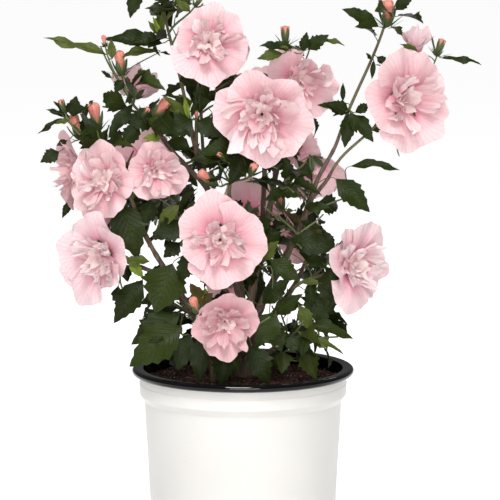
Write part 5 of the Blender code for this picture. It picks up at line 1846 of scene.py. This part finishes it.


# %% [markdown]
# The petals are palest at the rim and deepest in the throat, and fine darker veins fan out from
# there.  The red throat and the veins are the flower's own, but the pink also deepens low in the cup
# and on the crumpled petals as painted shade of the folds, a slow noise mottles it with painted
# light and shade, and the veins are drawn darker as painted shade of fine pleats.  The petals also
# glow faintly pink: painted light that stands for light shining through them.  As with the leaves,
# the finish is worked out in the cells of a small map: four for the broad petals, three for the
# crumpled ones and one for the cream ones in the very middle.

# %% Petal finish
# The faint pink glow is painted light: it stands for light shining through the thin petals, so that
# their shadows stay pink.
petal_finish = Finish("petal_pink", roughness=0.62, IOR=1.35, Sheen_Weight=0.25,
                      Sheen_Roughness=0.4, Emission_Color=(1.0, 0.42, 0.50, 1.0),
                      Emission_Strength=0.10)
across, up, number, where = map_cells(petal_finish)
blotch = petal_finish.noise(where, 14.0, 3.0)
warp = petal_finish.noise(where, 34.0, 2.0)
fan = across * 8.0 + warp * 1.5
vein = 1.0 - (abs(fan.maths("FRACT") - 0.5) / 0.16).maths("MINIMUM", 1.0)
fine = 1.0 - (abs((across * 19.0 + warp * 3.0).maths("FRACT") - 0.5) / 0.2).maths("MINIMUM", 1.0)
tuft = number > 3.5
cream = number > 6.5
# Deeper pink low in the cup: the throat's own red, and painted shade where the cup and the folds lie
# in shade; the blotch noise mottles it with painted light and shade.
depth = (up + (blotch - 0.5) * 0.22).maths("MINIMUM", 1.0)
broad = petal_finish.ramp(depth, [(0.10, (0.33, 0.025, 0.07)), (0.26, (0.66, 0.21, 0.30)),
                                  (0.46, (0.735, 0.42, 0.475)), (0.74, (0.75, 0.55, 0.568)),
                                  (1.0, (0.745, 0.585, 0.598))])
small = petal_finish.ramp(depth, [(0.10, (0.56, 0.14, 0.22)), (0.34, (0.72, 0.35, 0.415)),
                                  (0.60, (0.775, 0.525, 0.55)), (1.0, (0.80, 0.685, 0.685))])
pink = petal_finish.blend(tuft, broad, small)
pink = petal_finish.blend(cream * 0.8, pink, (0.88, 0.75, 0.73))
# The darker cells (3 and 6) are shaded copies: partly a deeper pink, partly painted shade.
variety = tones(petal_finish, number, [(1.00, 1.08, 1.07), (0.99, 0.96, 0.95), (1.00, 1.02, 1.00),
                                       (0.83, 0.75, 0.74), (1.02, 1.13, 1.11), (0.99, 0.96, 0.95),
                                       (0.88, 0.80, 0.79), (0.98, 1.00, 0.98)])
pink = petal_finish.blend(1.0, pink, variety, "MULTIPLY")
# The veins are the petals' own, drawn darker as painted shade of fine pleats.
strength = (vein * 0.54 + fine * 0.38) * (1.12 - up * 0.62) * (1.0 - cream)
petal_finish.feed(Base_Color=petal_finish.blend(strength, pink, (0.80, 0.26, 0.37)))
petal_finish.relief(vein * 0.6 + fine * 0.4, 0.0006, 0.6)
show("petals", petals.mesh(), [petal_finish],
     [name for name in MASSES if MASSES[name].blooms])
show("inner_petals", inner_petals.mesh(), [petal_finish])
show("buds", buds.mesh(), [coral])
show("calyces", calyces.mesh(), green_finishes)


# %% [markdown]
# A plain pale floor runs out of sight.  A wall behind the plant would show a corner, so the floor
# itself glows softly, as a lit backdrop does, except for a wide round in front of the plant, where
# it mostly takes the lamps' light.

# %% Floor
FLOOR_SIDE = 60.0
FLOOR_DROP = 0.0005
FAR_GLOW = 0.86
SHADE_GLOW = 0.20
SHADE_MIDDLE = (0.0, -1.25, 0.0)
SHADE_FULL = 1.22
SHADE_END = 1.53
floor_shape = bmesh.new()
bmesh.ops.create_grid(floor_shape, x_segments=1, y_segments=1, size=FLOOR_SIDE)
floor_mesh = bpy.data.meshes.new("floor")
floor_shape.to_mesh(floor_mesh)
floor_shape.free()
paper = Finish("floor_white", (0.90, 0.90, 0.90), 0.9, Emission_Strength=1.0)
away = paper.node("ShaderNodeVectorMath", {"operation": "DISTANCE"},
                  [paper.place(), SHADE_MIDDLE], output="Value")
glow = paper.node("ShaderNodeMapRange", {"interpolation_type": "SMOOTHSTEP"},
                  {"Value": away, "From Min": SHADE_FULL, "From Max": SHADE_END,
                   "To Min": SHADE_GLOW, "To Max": FAR_GLOW})
paper.feed(Emission_Color=paper.blend(glow, (0.0, 0.0, 0.0), (1.0, 1.0, 1.0)))
floor_mesh.materials.append(paper.material)
floor = bpy.data.objects.new("floor", floor_mesh)
floor.location = (0.0, 0.0, -FLOOR_DROP)
bpy.context.scene.collection.objects.link(floor)


# %% [markdown]
# The sky is an even, dim white, so that no shadow is quite black.  Two large lamps in front add a
# gentle direction, so that folds and leaves read, and a weak one behind opens the shadows at the
# back.  Small lamps would be simpler, but their hard shadows would cut the blooms up.

# %% Light
SKY_STRENGTH = 0.12
world = bpy.data.worlds.new("studio")
world.use_nodes = True
world.node_tree.nodes["Background"].inputs["Color"].default_value = (1.0, 1.0, 1.0, 1.0)
world.node_tree.nodes["Background"].inputs["Strength"].default_value = SKY_STRENGTH
bpy.context.scene.world = world


def lamp(name, place, aim, side, watts):
    """A large square lamp that faces a place."""
    light = bpy.data.lights.new(name, "AREA")
    light.size = side
    light.energy = watts
    made = bpy.data.objects.new(name, light)
    made.location = place
    made.rotation_euler = (Vector(aim) - Vector(place)).to_track_quat("-Z", "Y").to_euler()
    bpy.context.scene.collection.objects.link(made)


MIDDLE = (0.0, 0.0, 0.4)
lamp("key", (-0.2, -1.7, 2.7), MIDDLE, 1.0, 58.0)
lamp("front", (0.1, -3.0, 1.0), MIDDLE, 1.6, 42.0)
lamp("back", (0.6, 2.2, 2.2), MIDDLE, 1.0, 12.0)
bpy.context.scene.view_settings.view_transform = "Standard"
